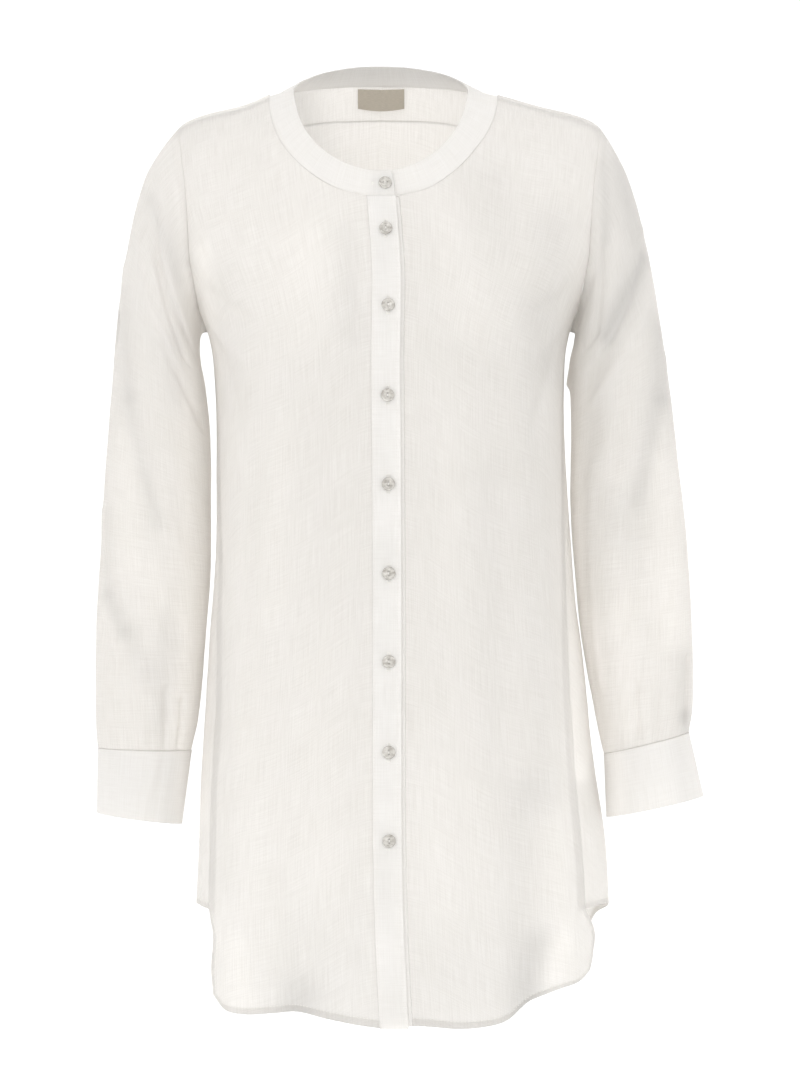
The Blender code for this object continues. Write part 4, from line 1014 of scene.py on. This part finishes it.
smallFolds = {
    right: [
        sleeveFold(0.10, 60.0, 0.26, 128.0, 0.8, 0.16),
        sleeveFold(0.17, 40.0, 0.30, 110.0, 0.9, -0.16),
        sleeveFold(0.24, 20.0, 0.45, 70.0, 1.0, -0.14),
        sleeveFold(0.28, 95.0, 0.40, 150.0, 0.8, 0.16),
        sleeveFold(0.46, 60.0, 0.66, 120.0, 0.9, -0.14),
        sleeveFold(0.62, 20.0, 0.76, 34.0, 0.7, -0.20),
        sleeveFold(0.80, 28.0, 0.86, 46.0, 0.7, 0.20),
        sleeveFold(0.84, 60.0, 0.94, 90.0, 0.8, 0.14),
        sleeveFold(0.90, 112.0, 1.00, 118.0, 0.45, 0.22),
        sleeveFold(0.92, 134.0, 1.00, 138.0, 0.40, 0.20),
        sleeveFold(0.88, 84.0, 0.99, 88.0, 0.5, -0.12),
        sleeveFold(0.14, 250.0, 0.30, 300.0, 0.9, -0.16),
        sleeveFold(0.36, 230.0, 0.50, 300.0, 0.9, 0.18),
        sleeveFold(0.46, 210.0, 0.58, 270.0, 0.8, -0.16),
        sleeveFold(0.55, 225.0, 0.60, 310.0, 0.7, 0.26),
        sleeveFold(0.66, 220.0, 0.64, 300.0, 0.7, -0.20),
        sleeveFold(0.76, 250.0, 0.90, 290.0, 0.8, 0.14),
    ],
    left: [
        sleeveFold(0.06, 96.0, 0.22, 118.0, 0.9, 0.16),
        sleeveFold(0.17, 24.0, 0.27, 100.0, 0.8, -0.18),
        sleeveFold(0.28, 40.0, 0.38, 124.0, 0.9, -0.16),
        sleeveFold(0.30, 70.0, 0.52, 104.0, 0.9, 0.16),
        sleeveFold(0.38, 20.0, 0.58, 56.0, 0.9, -0.14),
        sleeveFold(0.50, 130.0, 0.88, 148.0, 0.8, -0.14),
        sleeveFold(0.60, 84.0, 0.80, 104.0, 1.0, 0.14),
        sleeveFold(0.72, 40.0, 0.90, 66.0, 0.9, -0.12),
        sleeveFold(0.86, 26.0, 0.97, 30.0, 0.5, 0.30),
        sleeveFold(0.89, 100.0, 1.00, 104.0, 0.45, 0.18),
        sleeveFold(0.91, 76.0, 1.00, 80.0, 0.45, 0.16),
        sleeveFold(0.12, 240.0, 0.30, 290.0, 0.9, -0.16),
        sleeveFold(0.38, 225.0, 0.50, 300.0, 0.9, 0.18),
        sleeveFold(0.53, 220.0, 0.58, 312.0, 0.7, 0.26),
        sleeveFold(0.64, 226.0, 0.63, 305.0, 0.7, -0.20),
        sleeveFold(0.78, 245.0, 0.92, 286.0, 0.8, 0.14),
    ],
}


def sleeveDepth(folds, share, turn):
    depth = np.zeros(np.broadcast(share, turn).shape)
    scale = np.array([sleeve["length"], math.radians(1.0) * sleeve["radius"]])
    for fold in folds:
        start = np.array([fold.share, fold.turn]) * scale
        way = np.array([fold.toShare, fold.toTurn]) * scale - start
        here = np.stack(np.broadcast_arrays(share * scale[0], turn * scale[1]), axis=-1) - start
        part = np.clip((here @ way) / (way @ way), 0.0, 1.0)
        off = np.linalg.norm(here - part[..., None] * way, axis=-1)
        depth = depth + fold.depth * np.exp(-(off / fold.halfWidth) ** 2)
    return depth


def ringPoint(side, form, share, turn):
    # Point of a sleeve's or a cuff's smooth form.
    share, turn = np.broadcast_arrays(share, turn)
    part = (1.0 - np.cos(np.radians(turn))) / 2
    x = side * mix(readTable(form, "outerX", share), readTable(form, "innerX", share), part)
    z = mix(readTable(form, "outerZ", share), readTable(form, "innerZ", share), part)
    y = readTable(form, "centreY", share) - readTable(form, "halfDepth", share) * np.sin(np.radians(turn))
    return np.stack([x, y, z], axis=-1)


def ringMiddle(side, form, share):
    return (ringPoint(side, form, share, 0.0) + ringPoint(side, form, share, 180.0)) / 2


def armholeRing(side):
    # Around the armhole from the ridge down the front, under the arm and up the back.
    front = (frontRightChart if side == right else frontLeftChart)[:, -1]
    isArm = front[:, 1] <= downAt(front[:, 0], np.full(len(front), frontCut["sideSeamTop"])) + 1e-6
    front = front[isArm]
    backArm = backHalf[:, -1]
    isArm = backArm[:, 1] <= downAt(backArm[:, 0], np.full(len(backArm), frontCut["sideSeamTop"])) + 1e-6
    backArm = backArm[isArm]
    yokeArm = yokeHalf[:, -1]
    ridge = int(np.searchsorted(yokeAt, yokeCut["ridgeRow"] - 1e-6))
    ring = np.concatenate([yokeArm[ridge:0:-1], front[::-1], backArm[1:], yokeArm[-2:ridge:-1]])
    points, normals, _ = bodyGrid(side, ring)
    return points, normals


def sleeveGrid(side):
    places, seamNormals = armholeRing(side)
    form = sleeveForm[side]
    after = np.roll(places, -1, axis=0) - np.roll(places, 1, axis=0)
    heading = unit(np.cross(seamNormals, after))
    away = np.sign((heading * (side, 0.0, 1.0)).sum(-1, keepdims=True))
    places = places + heading * away * sleeve["seamGap"]
    steps = np.linalg.norm(np.roll(places, -1, axis=0) - places, axis=1)
    lengths = np.concatenate([[0.0], np.cumsum(steps)])
    lowest = int(places[:, 2].argmin())
    first = 180.0 * lengths[:-1] / lengths[lowest]
    second = 180.0 + 180.0 * (lengths[:-1] - lengths[lowest]) / (lengths[-1] - lengths[lowest])
    turns = np.where(np.arange(len(places)) <= lowest, first, second)
    turns = np.append(turns, 360.0)[None, :]
    places = np.concatenate([places, places[:1]])
    shares = spread(sleeve["rows"], 0.004)[:, None] ** sleeve["crowding"]
    hold = (1.0 - np.minimum(shares / sleeve["capShare"], 1.0)) ** 2
    plain = ringPoint(side, form, np.zeros_like(turns), turns)
    points = ringPoint(side, form, shares, turns) + (places[None] - plain) * hold[..., None]
    inwards = unit(ringMiddle(side, form, shares) - points)
    points = points + inwards * (sleeveDepth(largeFolds[side], shares, turns) * (1.0 - hold))[..., None]
    normals = gridNormals(points, closed=True)
    facing = np.sign((normals * -inwards).sum())
    normals = normals * facing
    loose = ease(0.0, 0.03, shares) * (1.0 - 0.6 * ease(0.985, 1.0, shares))
    rise = crumpled(points, 40.0 * side) - sleeve["foldGain"] * sleeveDepth(smallFolds[side], shares, turns)
    points = points + normals * (rise * loose)[..., None]
    points[:, -1] = points[:, 0]
    tuck = ease(0.994, 1.0, shares) * 0.03 + seamDip(shares * sleeve["length"])
    points = points - normals * tuck[..., None]
    around = np.concatenate([[0.0], np.cumsum(steps)])[None, :] * (1.0 - 0.5 * shares)
    cut = np.stack(np.broadcast_arrays(around, -shares * sleeve["length"]), axis=-1)
    return points, normals, cut


def buildSleeve(name, side):
    piece = clothPiece(f"cloth_{name}", [sleeveGrid(side)], linenCloth, clothWall["single"],
                       shades=sleeveShades)
    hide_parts(name)
    return piece


sleeveRight = buildSleeve("sleeve_right", right)
sleeveLeft = buildSleeve("sleeve_left", left)
print("sleeves set in")

# Cuffs

cuff = {
    "start": 236.0,
    "lap": 26.0,
    "lapEase": 40.0,
    "lapDrop": 0.26,
    "columns": 150,
    "rows": 22,
    "flat": (0.23, 0.062),
}
cuffForm = {
    right: {
        "at": (0.0, 1.0), "outerX": (26.0, 26.1), "outerZ": (-58.24, -64.0), "innerX": (17.6, 18.45),
        "innerZ": (-58.44, -65.0), "halfDepth": (3.5, 3.4), "centreY": (-1.4, -1.6),
    },
    left: {
        "at": (0.0, 1.0), "outerX": (27.0, 28.3), "outerZ": (-56.84, -62.5), "innerX": (19.35, 19.6),
        "innerZ": (-58.74, -64.4), "halfDepth": (3.5, 3.6), "centreY": (-1.3, -1.5),
    },
}
cuffFolds = {   # share down the cuff, turn, then the far end; cm wide and deep
    right: [
        sleeveFold(0.0, 118.0, 1.0, 112.0, 0.5, 0.14),
        sleeveFold(0.1, 70.0, 1.0, 78.0, 0.9, -0.06),
        sleeveFold(0.0, 290.0, 1.0, 284.0, 0.7, 0.10),
    ],
    left: [
        sleeveFold(0.0, 44.0, 1.0, 38.0, 0.7, 0.12),
        sleeveFold(0.1, 96.0, 1.0, 92.0, 0.9, -0.06),
        sleeveFold(0.0, 300.0, 1.0, 296.0, 0.7, 0.10),
    ],
}


def cuffGrid(side):
    form = cuffForm[side]
    turned = (360.0 + cuff["lap"]) * spread(cuff["columns"], 0.006)[None, :]
    shares = spread(cuff["rows"], 0.03)[:, None]
    points = ringPoint(side, form, shares, cuff["start"] + turned)
    inwards = unit(ringMiddle(side, form, shares) - points)
    under = ease(360.0 - cuff["lapEase"], 360.0 - cuff["lapEase"] / 4, turned) * cuff["lapDrop"]
    points = points + inwards * under[..., None]
    normals = gridNormals(points)
    normals = normals * np.sign((normals * -inwards).sum())
    facing = (cuff["start"] + turned) % 360.0
    scale = np.array([6.3, math.radians(1.0) * 4.0])
    rise = crumpled(points, 11.0 * side) * 0.4
    for fold in cuffFolds[side]:
        middle = mix(fold.turn, fold.toTurn, shares)
        off = ((facing - middle + 180.0) % 360.0 - 180.0) * scale[1]
        rise = rise - fold.depth * np.exp(-(off / fold.halfWidth) ** 2)
    points = points + normals * rise[..., None]
    around = turned * scale[1]
    cut = np.stack(np.broadcast_arrays(around, -shares * scale[0]), axis=-1)
    return points, normals, cut


def buildCuff(name, side):
    piece = clothPiece(f"cloth_{name}", [cuffGrid(side)], linenDouble, clothWall["double"], shades=cuffShades)
    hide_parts(name)
    return piece


cuffRight = buildCuff("cuff_right", right)
cuffLeft = buildCuff("cuff_left", left)
print("cuffs sewn on")

# Neck band and plackets

band = {
    "lap": 1.1,
    "lapDrop": 0.26,
    "rows": 14,
    "perStep": 8,
    "lift": 0.03,
    "flat": (0.63, 0.027),
}
frontBandEdge = [   # way out, depth and height of the band's free edge beside each point of the front neck
    (0.0, -9.0, -7.1), (1.2, -8.96, -7.02), (3.4, -8.2, -6.25), (5.2, -6.8, -4.95),
    (6.5, -5.05, -3.4), (7.3, -3.1, -1.75), (7.7, -1.2, -0.2), (7.85, 0.3, 0.75),
]
backBandEdge = [
    (7.75, 1.3, 1.3), (7.1, 2.35, 1.95), (5.6, 3.25, 2.65), (3.9, 3.85, 3.1), (2.0, 4.15, 3.38),
    (0.0, 4.25, 3.45),
]
placket = {
    "columns": 14,
    "rows": 250,
    "rightLift": 0.06,
    "leftLift": -0.19,
    "lap": 1.1,
    "flat": (0.0252, 0.735),
}


def bandStation(side, out, height, edge, isBack):
    angle = angleAt(out, height, isBack)
    down = downAt(angle, height)
    seam = bodyPoint(side, angle, down)
    free = leaned(side * edge[0], edge[1], edge[2])
    return np.concatenate([seam, free, bodyNormal(side, angle, down)])


def bandLine():
    # Seam, free edge and the cloth's normal, from the lap on top round the neck to the lap beneath.
    halves = []
    for side in (right, left):
        half = [bandStation(side, out, height, edge, False)
                for (out, height), edge in zip(frontNeck, frontBandEdge)]
        half += [bandStation(side, out, height, edge, True)
                 for (out, height), edge in zip(backNeck, backBandEdge)]
        halves.append(half)
    atRight, atLeft = halves
    share = band["lap"] / body["placketSeam"]
    start = mix(atLeft[0], atLeft[1], share)
    end = mix(atRight[0], atRight[1], share)
    path = np.array([start] + atRight + atLeft[-2::-1] + [end])
    count = len(path)
    at = np.linspace(0, count - 1, (count - 1) * band["perStep"] + 1)
    line = throughPoints(path, at)
    drop = band["lapDrop"] * ease(count - 5, count - 3, at)
    return line[:, 0:3], line[:, 3:6], unit(line[:, 6:9]), drop


def bandGrid():
    seam, free, _, drop = bandLine()
    part = spread(band["rows"], 0.04)[:, None, None]
    points = mix(seam[None], free[None], part)
    points[..., 1] += drop[None]
    normals = gridNormals(points)
    inwards = np.array([0.0, 0.0, -4.0]) - points
    normals = normals * np.sign((normals * -inwards).sum())
    bow = np.sin(np.pi * part[..., 0]) * 0.05
    rise = crumpled(points, 5.0) * 0.35 + bow + band["lift"]
    points = points + normals * rise[..., None]
    along = np.concatenate([[0.0], np.cumsum(np.linalg.norm(np.diff(seam, axis=0), axis=1))])
    cut = np.stack(np.broadcast_arrays(along[None, :], part[..., 0] * 2.5), axis=-1)
    return points, normals, cut


neckBand = clothPiece("cloth_neck_band", [bandGrid()], linenDouble, clothWall["double"], shades=bandShades)
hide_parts("neck_band")


def placketGrid(side, innerEdge, outerEdge, lift):
    foot = frontHem[side]["height"][1]
    top = frontNeck[0][1] + 0.04
    heights = mix(foot, top, spread(placket["rows"], 0.004))[:, None]
    outs = mix(innerEdge, outerEdge, spread(placket["columns"], 0.06))[None, :]
    outs, heights = np.broadcast_arrays(outs, heights)
    angle = np.copysign(angleAt(np.abs(outs), heights), outs) * -side
    down = downAt(np.abs(angle), heights)
    points = bodyPoint(np.full(angle.shape, right), angle, down)
    normals = bodyNormal(np.full(angle.shape, right), angle, down)
    rise = crumpled(points, 3.0) * 0.3 + lift
    cut = np.stack([outs, heights], axis=-1)
    return points + normals * rise[..., None], normals, cut


placketRight = clothPiece(
    "cloth_placket_right",
    [placketGrid(right, body["placketSeam"], -placket["lap"], placket["rightLift"])],
    linenPlacket, clothWall["double"] * 0.5)
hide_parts("placket_right")
placketLeft = clothPiece(
    "cloth_placket_left",
    [placketGrid(left, body["placketSeam"] - 0.01, -placket["lap"], placket["leftLift"])],
    linenDouble, clothWall["double"])
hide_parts("placket_left")
print("band and plackets sewn on")

# Shell buttons and the bare label


def shellMaterial():
    material = bpy.data.materials.new("shell")
    material.use_nodes = True
    tree = material.node_tree
    shader = tree.nodes["Principled BSDF"]
    place = addNode(tree, "ShaderNodeTexCoord").outputs["Object"]
    lustre = stretchedNoise(tree, place, (260.0, 140.0, 420.0), 3.0)
    colour = rampBetween(tree, lustre, 0.3, 0.7, (0.29, 0.27, 0.24), (0.62, 0.6, 0.56))
    tree.links.new(colour, shader.inputs["Base Color"])
    shader.inputs["Roughness"].default_value = 0.16
    shader.inputs["Coat Weight"].default_value = 0.5
    shader.inputs["Coat Roughness"].default_value = 0.08
    return material


def labelMaterial():
    material = bpy.data.materials.new("label")
    material.use_nodes = True
    tree = material.node_tree
    shader = tree.nodes["Principled BSDF"]
    cut = addNode(tree, "ShaderNodeUVMap", uv_map="cut")
    ribs = stretchedNoise(tree, cut.outputs["UV"], (300.0, 4200.0, 1.0))
    colour = rampBetween(tree, ribs, 0.3, 0.7, (0.41, 0.372, 0.31), (0.5, 0.452, 0.38))
    tree.links.new(colour, shader.inputs["Base Color"])
    shader.inputs["Roughness"].default_value = 0.7
    shader.inputs["Sheen Weight"].default_value = 0.2
    return material


shell = shellMaterial()
tape = labelMaterial()
button = {
    "sides": 48,
    # radius and height of the turned outline in cm, from the back round the rim to the dish
    "outline": [(0.42, 0.0), (0.53, 0.02), (0.568, 0.07), (0.575, 0.12), (0.562, 0.17), (0.53, 0.205),
                (0.49, 0.215), (0.45, 0.205), (0.41, 0.18), (0.37, 0.168), (0.33, 0.165)],
    "holeRadius": 0.07,
    "holeOffset": 0.14,
    "holeSides": 14,
    "threadRadius": 0.035,
    "middles": (-0.225, 0.0, 0.225),   # where the buttoned tubes have their middle, in m
    "middleDepth": -0.013,
}


def buttonSeat(node):
    # Middle of the button's back, the way it faces, and the way along its holes, in cm.
    places = np.array([node.matrix_world @ vert.co for vert in node.data.vertices]) / cm
    centre = (places.max(axis=0) + places.min(axis=0)) / 2
    facing = np.linalg.svd(places - places.mean(axis=0))[2][2]
    middle = min(button["middles"], key=lambda x: abs(x / cm - centre[0]))
    facing = facing * np.sign(facing @ (centre - (middle / cm, button["middleDepth"] / cm, centre[2])))
    base = centre + facing * ((places - centre) @ facing).min()
    upwards = unit(np.array([0.0, 0.0, 1.0]) - facing * facing[2])
    along = upwards if abs(centre[0]) < 10.0 and centre[2] < -10.0 else np.cross(upwards, facing)
    return base, facing, unit(along)


def turnedRing(bm, radius, height, offset, sides):
    turns = np.arange(sides) * math.tau / sides
    return [bm.verts.new(Vector((offset + radius * math.cos(turn), radius * math.sin(turn), height)) * cm)
            for turn in turns]


def bridgeRings(bm, low, high):
    for index in range(len(low)):
        after = (index + 1) % len(low)
        bm.faces.new([low[index], low[after], high[after], high[index]])


def buildButton(name, node):
    base, facing, along = buttonSeat(node)
    bm = bmesh.new()
    rings = [turnedRing(bm, radius, height, 0.0, button["sides"]) for radius, height in button["outline"]]
    for low, high in zip(rings, rings[1:]):
        bridgeRings(bm, low, high)
    loops = [[rings[0]], [rings[-1]]]
    for offset in (-button["holeOffset"], button["holeOffset"]):
        ends = [turnedRing(bm, button["holeRadius"], button["outline"][end][1], offset, button["holeSides"])
                for end in (0, -1)]
        bridgeRings(bm, ends[1], ends[0])
        loops[0].append(ends[0])
        loops[1].append(ends[1])
    for group in loops:
        edges = [bm.edges.get((first, second)) for loop in group for first, second in zip(loop, loop[1:] + loop[:1])]
        bmesh.ops.triangle_fill(bm, edges=edges, use_beauty=True)
    bmesh.ops.recalc_face_normals(bm, faces=bm.faces)
    across = np.cross(facing, along)
    seat = Matrix((along, across, facing)).transposed().to_4x4()
    seat.translation = Vector(base * cm)
    bmesh.ops.transform(bm, matrix=seat, verts=bm.verts)
    mesh = bpy.data.meshes.new(f"shell_{name}")
    bm.to_mesh(mesh)
    bm.free()
    mesh.shade_smooth()
    mesh.set_sharp_from_angle(angle=math.radians(50.0))
    mesh.materials.append(shell)
    piece = bpy.data.objects.new(f"shell_{name}", mesh)
    bpy.context.scene.collection.objects.link(piece)
    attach(piece, "root")
    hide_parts(name)
    return base, facing, along


buttonSeats = {}
for name in [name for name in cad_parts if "button" in name]:
    buttonSeats[name] = buildButton(name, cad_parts[name])

label = {
    "halfWidth": 2.15, "top": 1.65, "height": 1.7, "clear": 0.26, "columns": 36, "rows": 18,
    "bulge": 0.2, "sag": 0.14, "flat": (0.043, 0.017),
}


def labelGrid():
    outs = mix(-label["halfWidth"], label["halfWidth"], spread(label["columns"], 0.03))[None, :]
    heights = mix(label["top"] - label["height"], label["top"], spread(label["rows"], 0.04))[:, None]
    outs, heights = np.broadcast_arrays(outs, heights)
    side = np.where(outs < 0, right, left)
    angle = angleAt(np.abs(outs), heights, back=True)
    down = downAt(angle, heights)
    points = bodyPoint(side, angle, down)
    normals = bodyNormal(side, angle, down)
    middle = np.cos(outs / label["halfWidth"] * math.pi / 2)
    loose = 1.0 - (heights - heights.min()) / label["height"]
    away = label["clear"] + label["bulge"] * middle * (0.35 + 0.65 * loose)
    cut = np.stack([outs, heights], axis=-1)
    points = points - normals * away[..., None]
    points[..., 2] -= label["sag"] * middle * loose
    return points, -normals, cut


neckLabel = clothPiece("cloth_neck_label", [labelGrid()], tape, 0.0004)
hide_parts("neck_label")
print("buttons and label on")

# Sewing: turned hems and seam allowances under the cloth, then the stitches and the buttonholes

sewing = {
    "turnIn": 0.053,        # how far under the outer face a turned edge lies, in cm
    "pitch": 0.3,
    "length": 0.2,
    "width": 0.05,
    "height": 0.035,
    "threadColour": (0.9, 0.88, 0.84),
}
turned = {}


def turnUnder(name, holder, rows, columns, extraLift=0.0):
    # A second layer of the holder's own cloth, close under a stretch of it.
    grids = []
    for points, normals, cut in sheets[holder]:
        lift = -(sewing["turnIn"] + extraLift)
        grids.append((points[rows, columns] + normals[rows, columns] * lift, normals[rows, columns],
                      cut[rows, columns] + (3.1, 1.7)))
    piece = clothPiece(name, grids, linenCloth, clothWall["allowance"])
    turned.setdefault(holder, []).append(piece)
    return piece


def countTo(at, value):
    return int(np.searchsorted(at, value + 1e-6))


hemTop = countTo(frontAt, frontCut["hemRows"][-1])
tailTop = countTo(frontAt, frontCut["corners"][0])
seamTop = countTo(frontAt, frontCut["corners"][1])
for sideName in ("right", "left"):
    front = f"cloth_front_{sideName}"
    turnUnder(f"hem_front_{sideName}", front, slice(0, hemTop), slice(None))
    turnUnder(f"hem_tail_{sideName}", front, slice(hemTop - 1, tailTop), slice(-6, None))
    turnUnder(f"allowance_side_{sideName}", front, slice(tailTop - 1, seamTop), slice(-9, None), 0.01)
    turnUnder(f"allowance_shoulder_{sideName}", front, slice(-7, None), slice(None), 0.02)
    turnUnder(f"allowance_cap_{sideName}", f"cloth_sleeve_{sideName}", slice(1, 9), slice(None))
hemRows = countTo(backAt, backCut["hemRows"][-1])
turnUnder("hem_back", "cloth_back", slice(0, hemRows), slice(None))
turnUnder("allowance_yoke_back", "cloth_yoke", slice(-2, None), slice(None))
print("edges turned under")


def threadMaterial():
    material = bpy.data.materials.new("thread")
    material.use_nodes = True
    tree = material.node_tree
    shader = tree.nodes["Principled BSDF"]
    place = addNode(tree, "ShaderNodeTexCoord").outputs["Object"]
    twist = stretchedNoise(tree, place, (5200.0, 5200.0, 2600.0), 1.0)
    shadeColour = tuple(0.9 * part for part in sewing["threadColour"])
    colour = rampBetween(tree, twist, 0.3, 0.7, shadeColour, sewing["threadColour"])
    tree.links.new(colour, shader.inputs["Base Color"])
    shader.inputs["Roughness"].default_value = 0.6
    return material


threadCotton = threadMaterial()


def stitchAlong(points, normals, pitch, first=0.5):
    # Middle, heading and normal of each stitch along a line of points in cm.
    lengths = np.concatenate([[0.0], np.cumsum(np.linalg.norm(np.diff(points, axis=0), axis=1))])
    at = np.arange(first * pitch, lengths[-1] - 0.3 * pitch, pitch)
    middles = np.stack([np.interp(at, lengths, points[:, axis]) for axis in range(3)], axis=-1)
    ahead = np.stack([np.interp(at + 0.05, lengths, points[:, axis]) for axis in range(3)], axis=-1)
    facing = unit(np.stack([np.interp(at, lengths, normals[:, axis]) for axis in range(3)], axis=-1))
    return middles, unit(ahead - middles), facing


def stitchPiece(name, holder, runs, length, width, height):
    bm = bmesh.new()
    for middles, headings, facings in runs:
        for middle, heading, facing in zip(middles, headings, facings):
            heading = unit(heading - facing * (heading @ facing))
            across = np.cross(facing, heading)
            frameOf = Matrix((across * width / 2, facing * height / 2, heading * length / 2)).transposed() * cm
            frameOf = frameOf.to_4x4()
            frameOf.translation = Vector((middle + facing * height * 0.15) * cm)
            bmesh.ops.create_uvsphere(bm, u_segments=6, v_segments=3, radius=1.0, matrix=frameOf)
    for face in bm.faces:
        face.smooth = True
    mesh = bpy.data.meshes.new(name)
    bm.to_mesh(mesh)
    bm.free()
    mesh.materials.append(threadCotton)
    piece = bpy.data.objects.new(name, mesh)
    bpy.context.scene.collection.objects.link(piece)
    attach(piece, "root")
    turned.setdefault(holder, []).append(piece)
    return piece


def gridLine(holder, row=None, column=None, grid=0, rows=slice(None), columns=slice(None)):
    # A line between the rows or the columns of a sheet's grid, with its normals.
    points, normals, _ = sheets[holder][grid]
    line = []
    for field in (points, normals):
        field = field if row is not None else field.swapaxes(0, 1)
        place = row if row is not None else column
        place = place % (len(field) - 1) if place < 0 else place
        low = min(int(place), len(field) - 2)
        line.append(mix(field[low], field[low + 1], place - low)[columns if row is not None else rows])
    return stitchAlong(*line, sewing["pitch"])


def topstitch(name, holder, *runs):
    return stitchPiece(name, holder, runs, sewing["length"], sewing["width"], sewing["height"])


for sideName, grid in (("right", 0), ("left", 1)):
    front = f"cloth_front_{sideName}"
    hemColumns = slice(0, -6)
    topstitch(f"stitch_hem_{sideName}", front,
              gridLine(front, row=hemTop - 1, columns=hemColumns),
              gridLine(front, column=-6, rows=slice(hemTop - 1, tailTop)))
    topstitch(f"stitch_hem_back_{sideName}", "cloth_back", gridLine("cloth_back", row=hemRows - 1, grid=grid))
    topstitch(f"stitch_shoulder_{sideName}", "cloth_yoke", gridLine("cloth_yoke", row=3, grid=grid))
    topstitch(f"stitch_yoke_back_{sideName}", "cloth_yoke",
              gridLine("cloth_yoke", row=len(yokeAt) - 4, grid=grid))
    cuffName = f"cloth_cuff_{sideName}"
    cuffRows = len(sheets[cuffName][0][0])
    topstitch(f"stitch_{cuffName[6:]}", cuffName,
              gridLine(cuffName, row=3), gridLine(cuffName, row=cuffRows - 4),
              gridLine(cuffName, column=3, rows=slice(3, -3)))
placketLines = [gridLine("cloth_placket_right", column=4), gridLine("cloth_placket_right", column=-5)]
topstitch("stitch_placket", "cloth_placket_right", *placketLines)
topstitch("stitch_placket_under", "cloth_placket_left", gridLine("cloth_placket_left", column=-5))
bandRows = len(sheets["cloth_neck_band"][0][0])
topstitch("stitch_band", "cloth_neck_band",
          gridLine("cloth_neck_band", row=4), gridLine("cloth_neck_band", row=bandRows - 5))
print("edges topstitched")

buttonhole = {
    "halfLength": 0.78,
    "halfWidth": 0.1,
    "stitches": 26,        # on each side
    "ends": 5,
    "length": 0.15,
    "width": 0.055,
    "bandShift": -0.35,    # towards the band's end the button sits off the middle
}


def buttonholeRuns(base, facing, along, shift):
    # Stitches set close round a slit, each across the edge.
    across = np.cross(facing, along)
    centre = base + along * shift - facing * 0.02
    straight = np.linspace(-1.0, 1.0, buttonhole["stitches"])[:, None] * buttonhole["halfLength"] * along
    middles, headings = [], []
    for edge in (-1.0, 1.0):
        middles.append(centre + straight + across * edge * buttonhole["halfWidth"])
        headings.append(np.broadcast_to(across, straight.shape))
    for end in (-1.0, 1.0):
        fan = np.linspace(-1.0, 1.0, buttonhole["ends"])[:, None] * buttonhole["halfWidth"] * 1.3 * across
        middles.append(centre + fan + along * end * (buttonhole["halfLength"] + 0.03))
        headings.append(np.broadcast_to(along, fan.shape))
    middles, headings = np.concatenate(middles), np.concatenate(headings)
    return middles, headings, np.broadcast_to(facing, middles.shape)


def threadRun(base, facing, along):
    # The thread between the two holes.
    place = base + facing * (button["outline"][-1][1] + 0.005)
    return place[None], along[None], facing[None]


for name, (base, facing, along) in buttonSeats.items():
    holder = "cloth_placket_right"
    if name == "button_1":
        holder = "cloth_neck_band"
    if name.startswith("cuff"):
        holder = f"cloth_cuff_{name.split('_')[-1]}"
    shift = buttonhole["bandShift"] * -np.sign(along[0]) if name == "button_1" else 0.0
    stitchPiece(f"buttonhole_{name}", holder, [buttonholeRuns(base, facing, along, -shift)],
                buttonhole["length"], buttonhole["width"], 0.05)
    stitchPiece(f"thread_{name}", holder, [threadRun(base, facing, along)],
                button["holeOffset"] * 2 + 0.06, button["threadRadius"] * 2.4, button["threadRadius"] * 2)
print("buttonholes sewn")
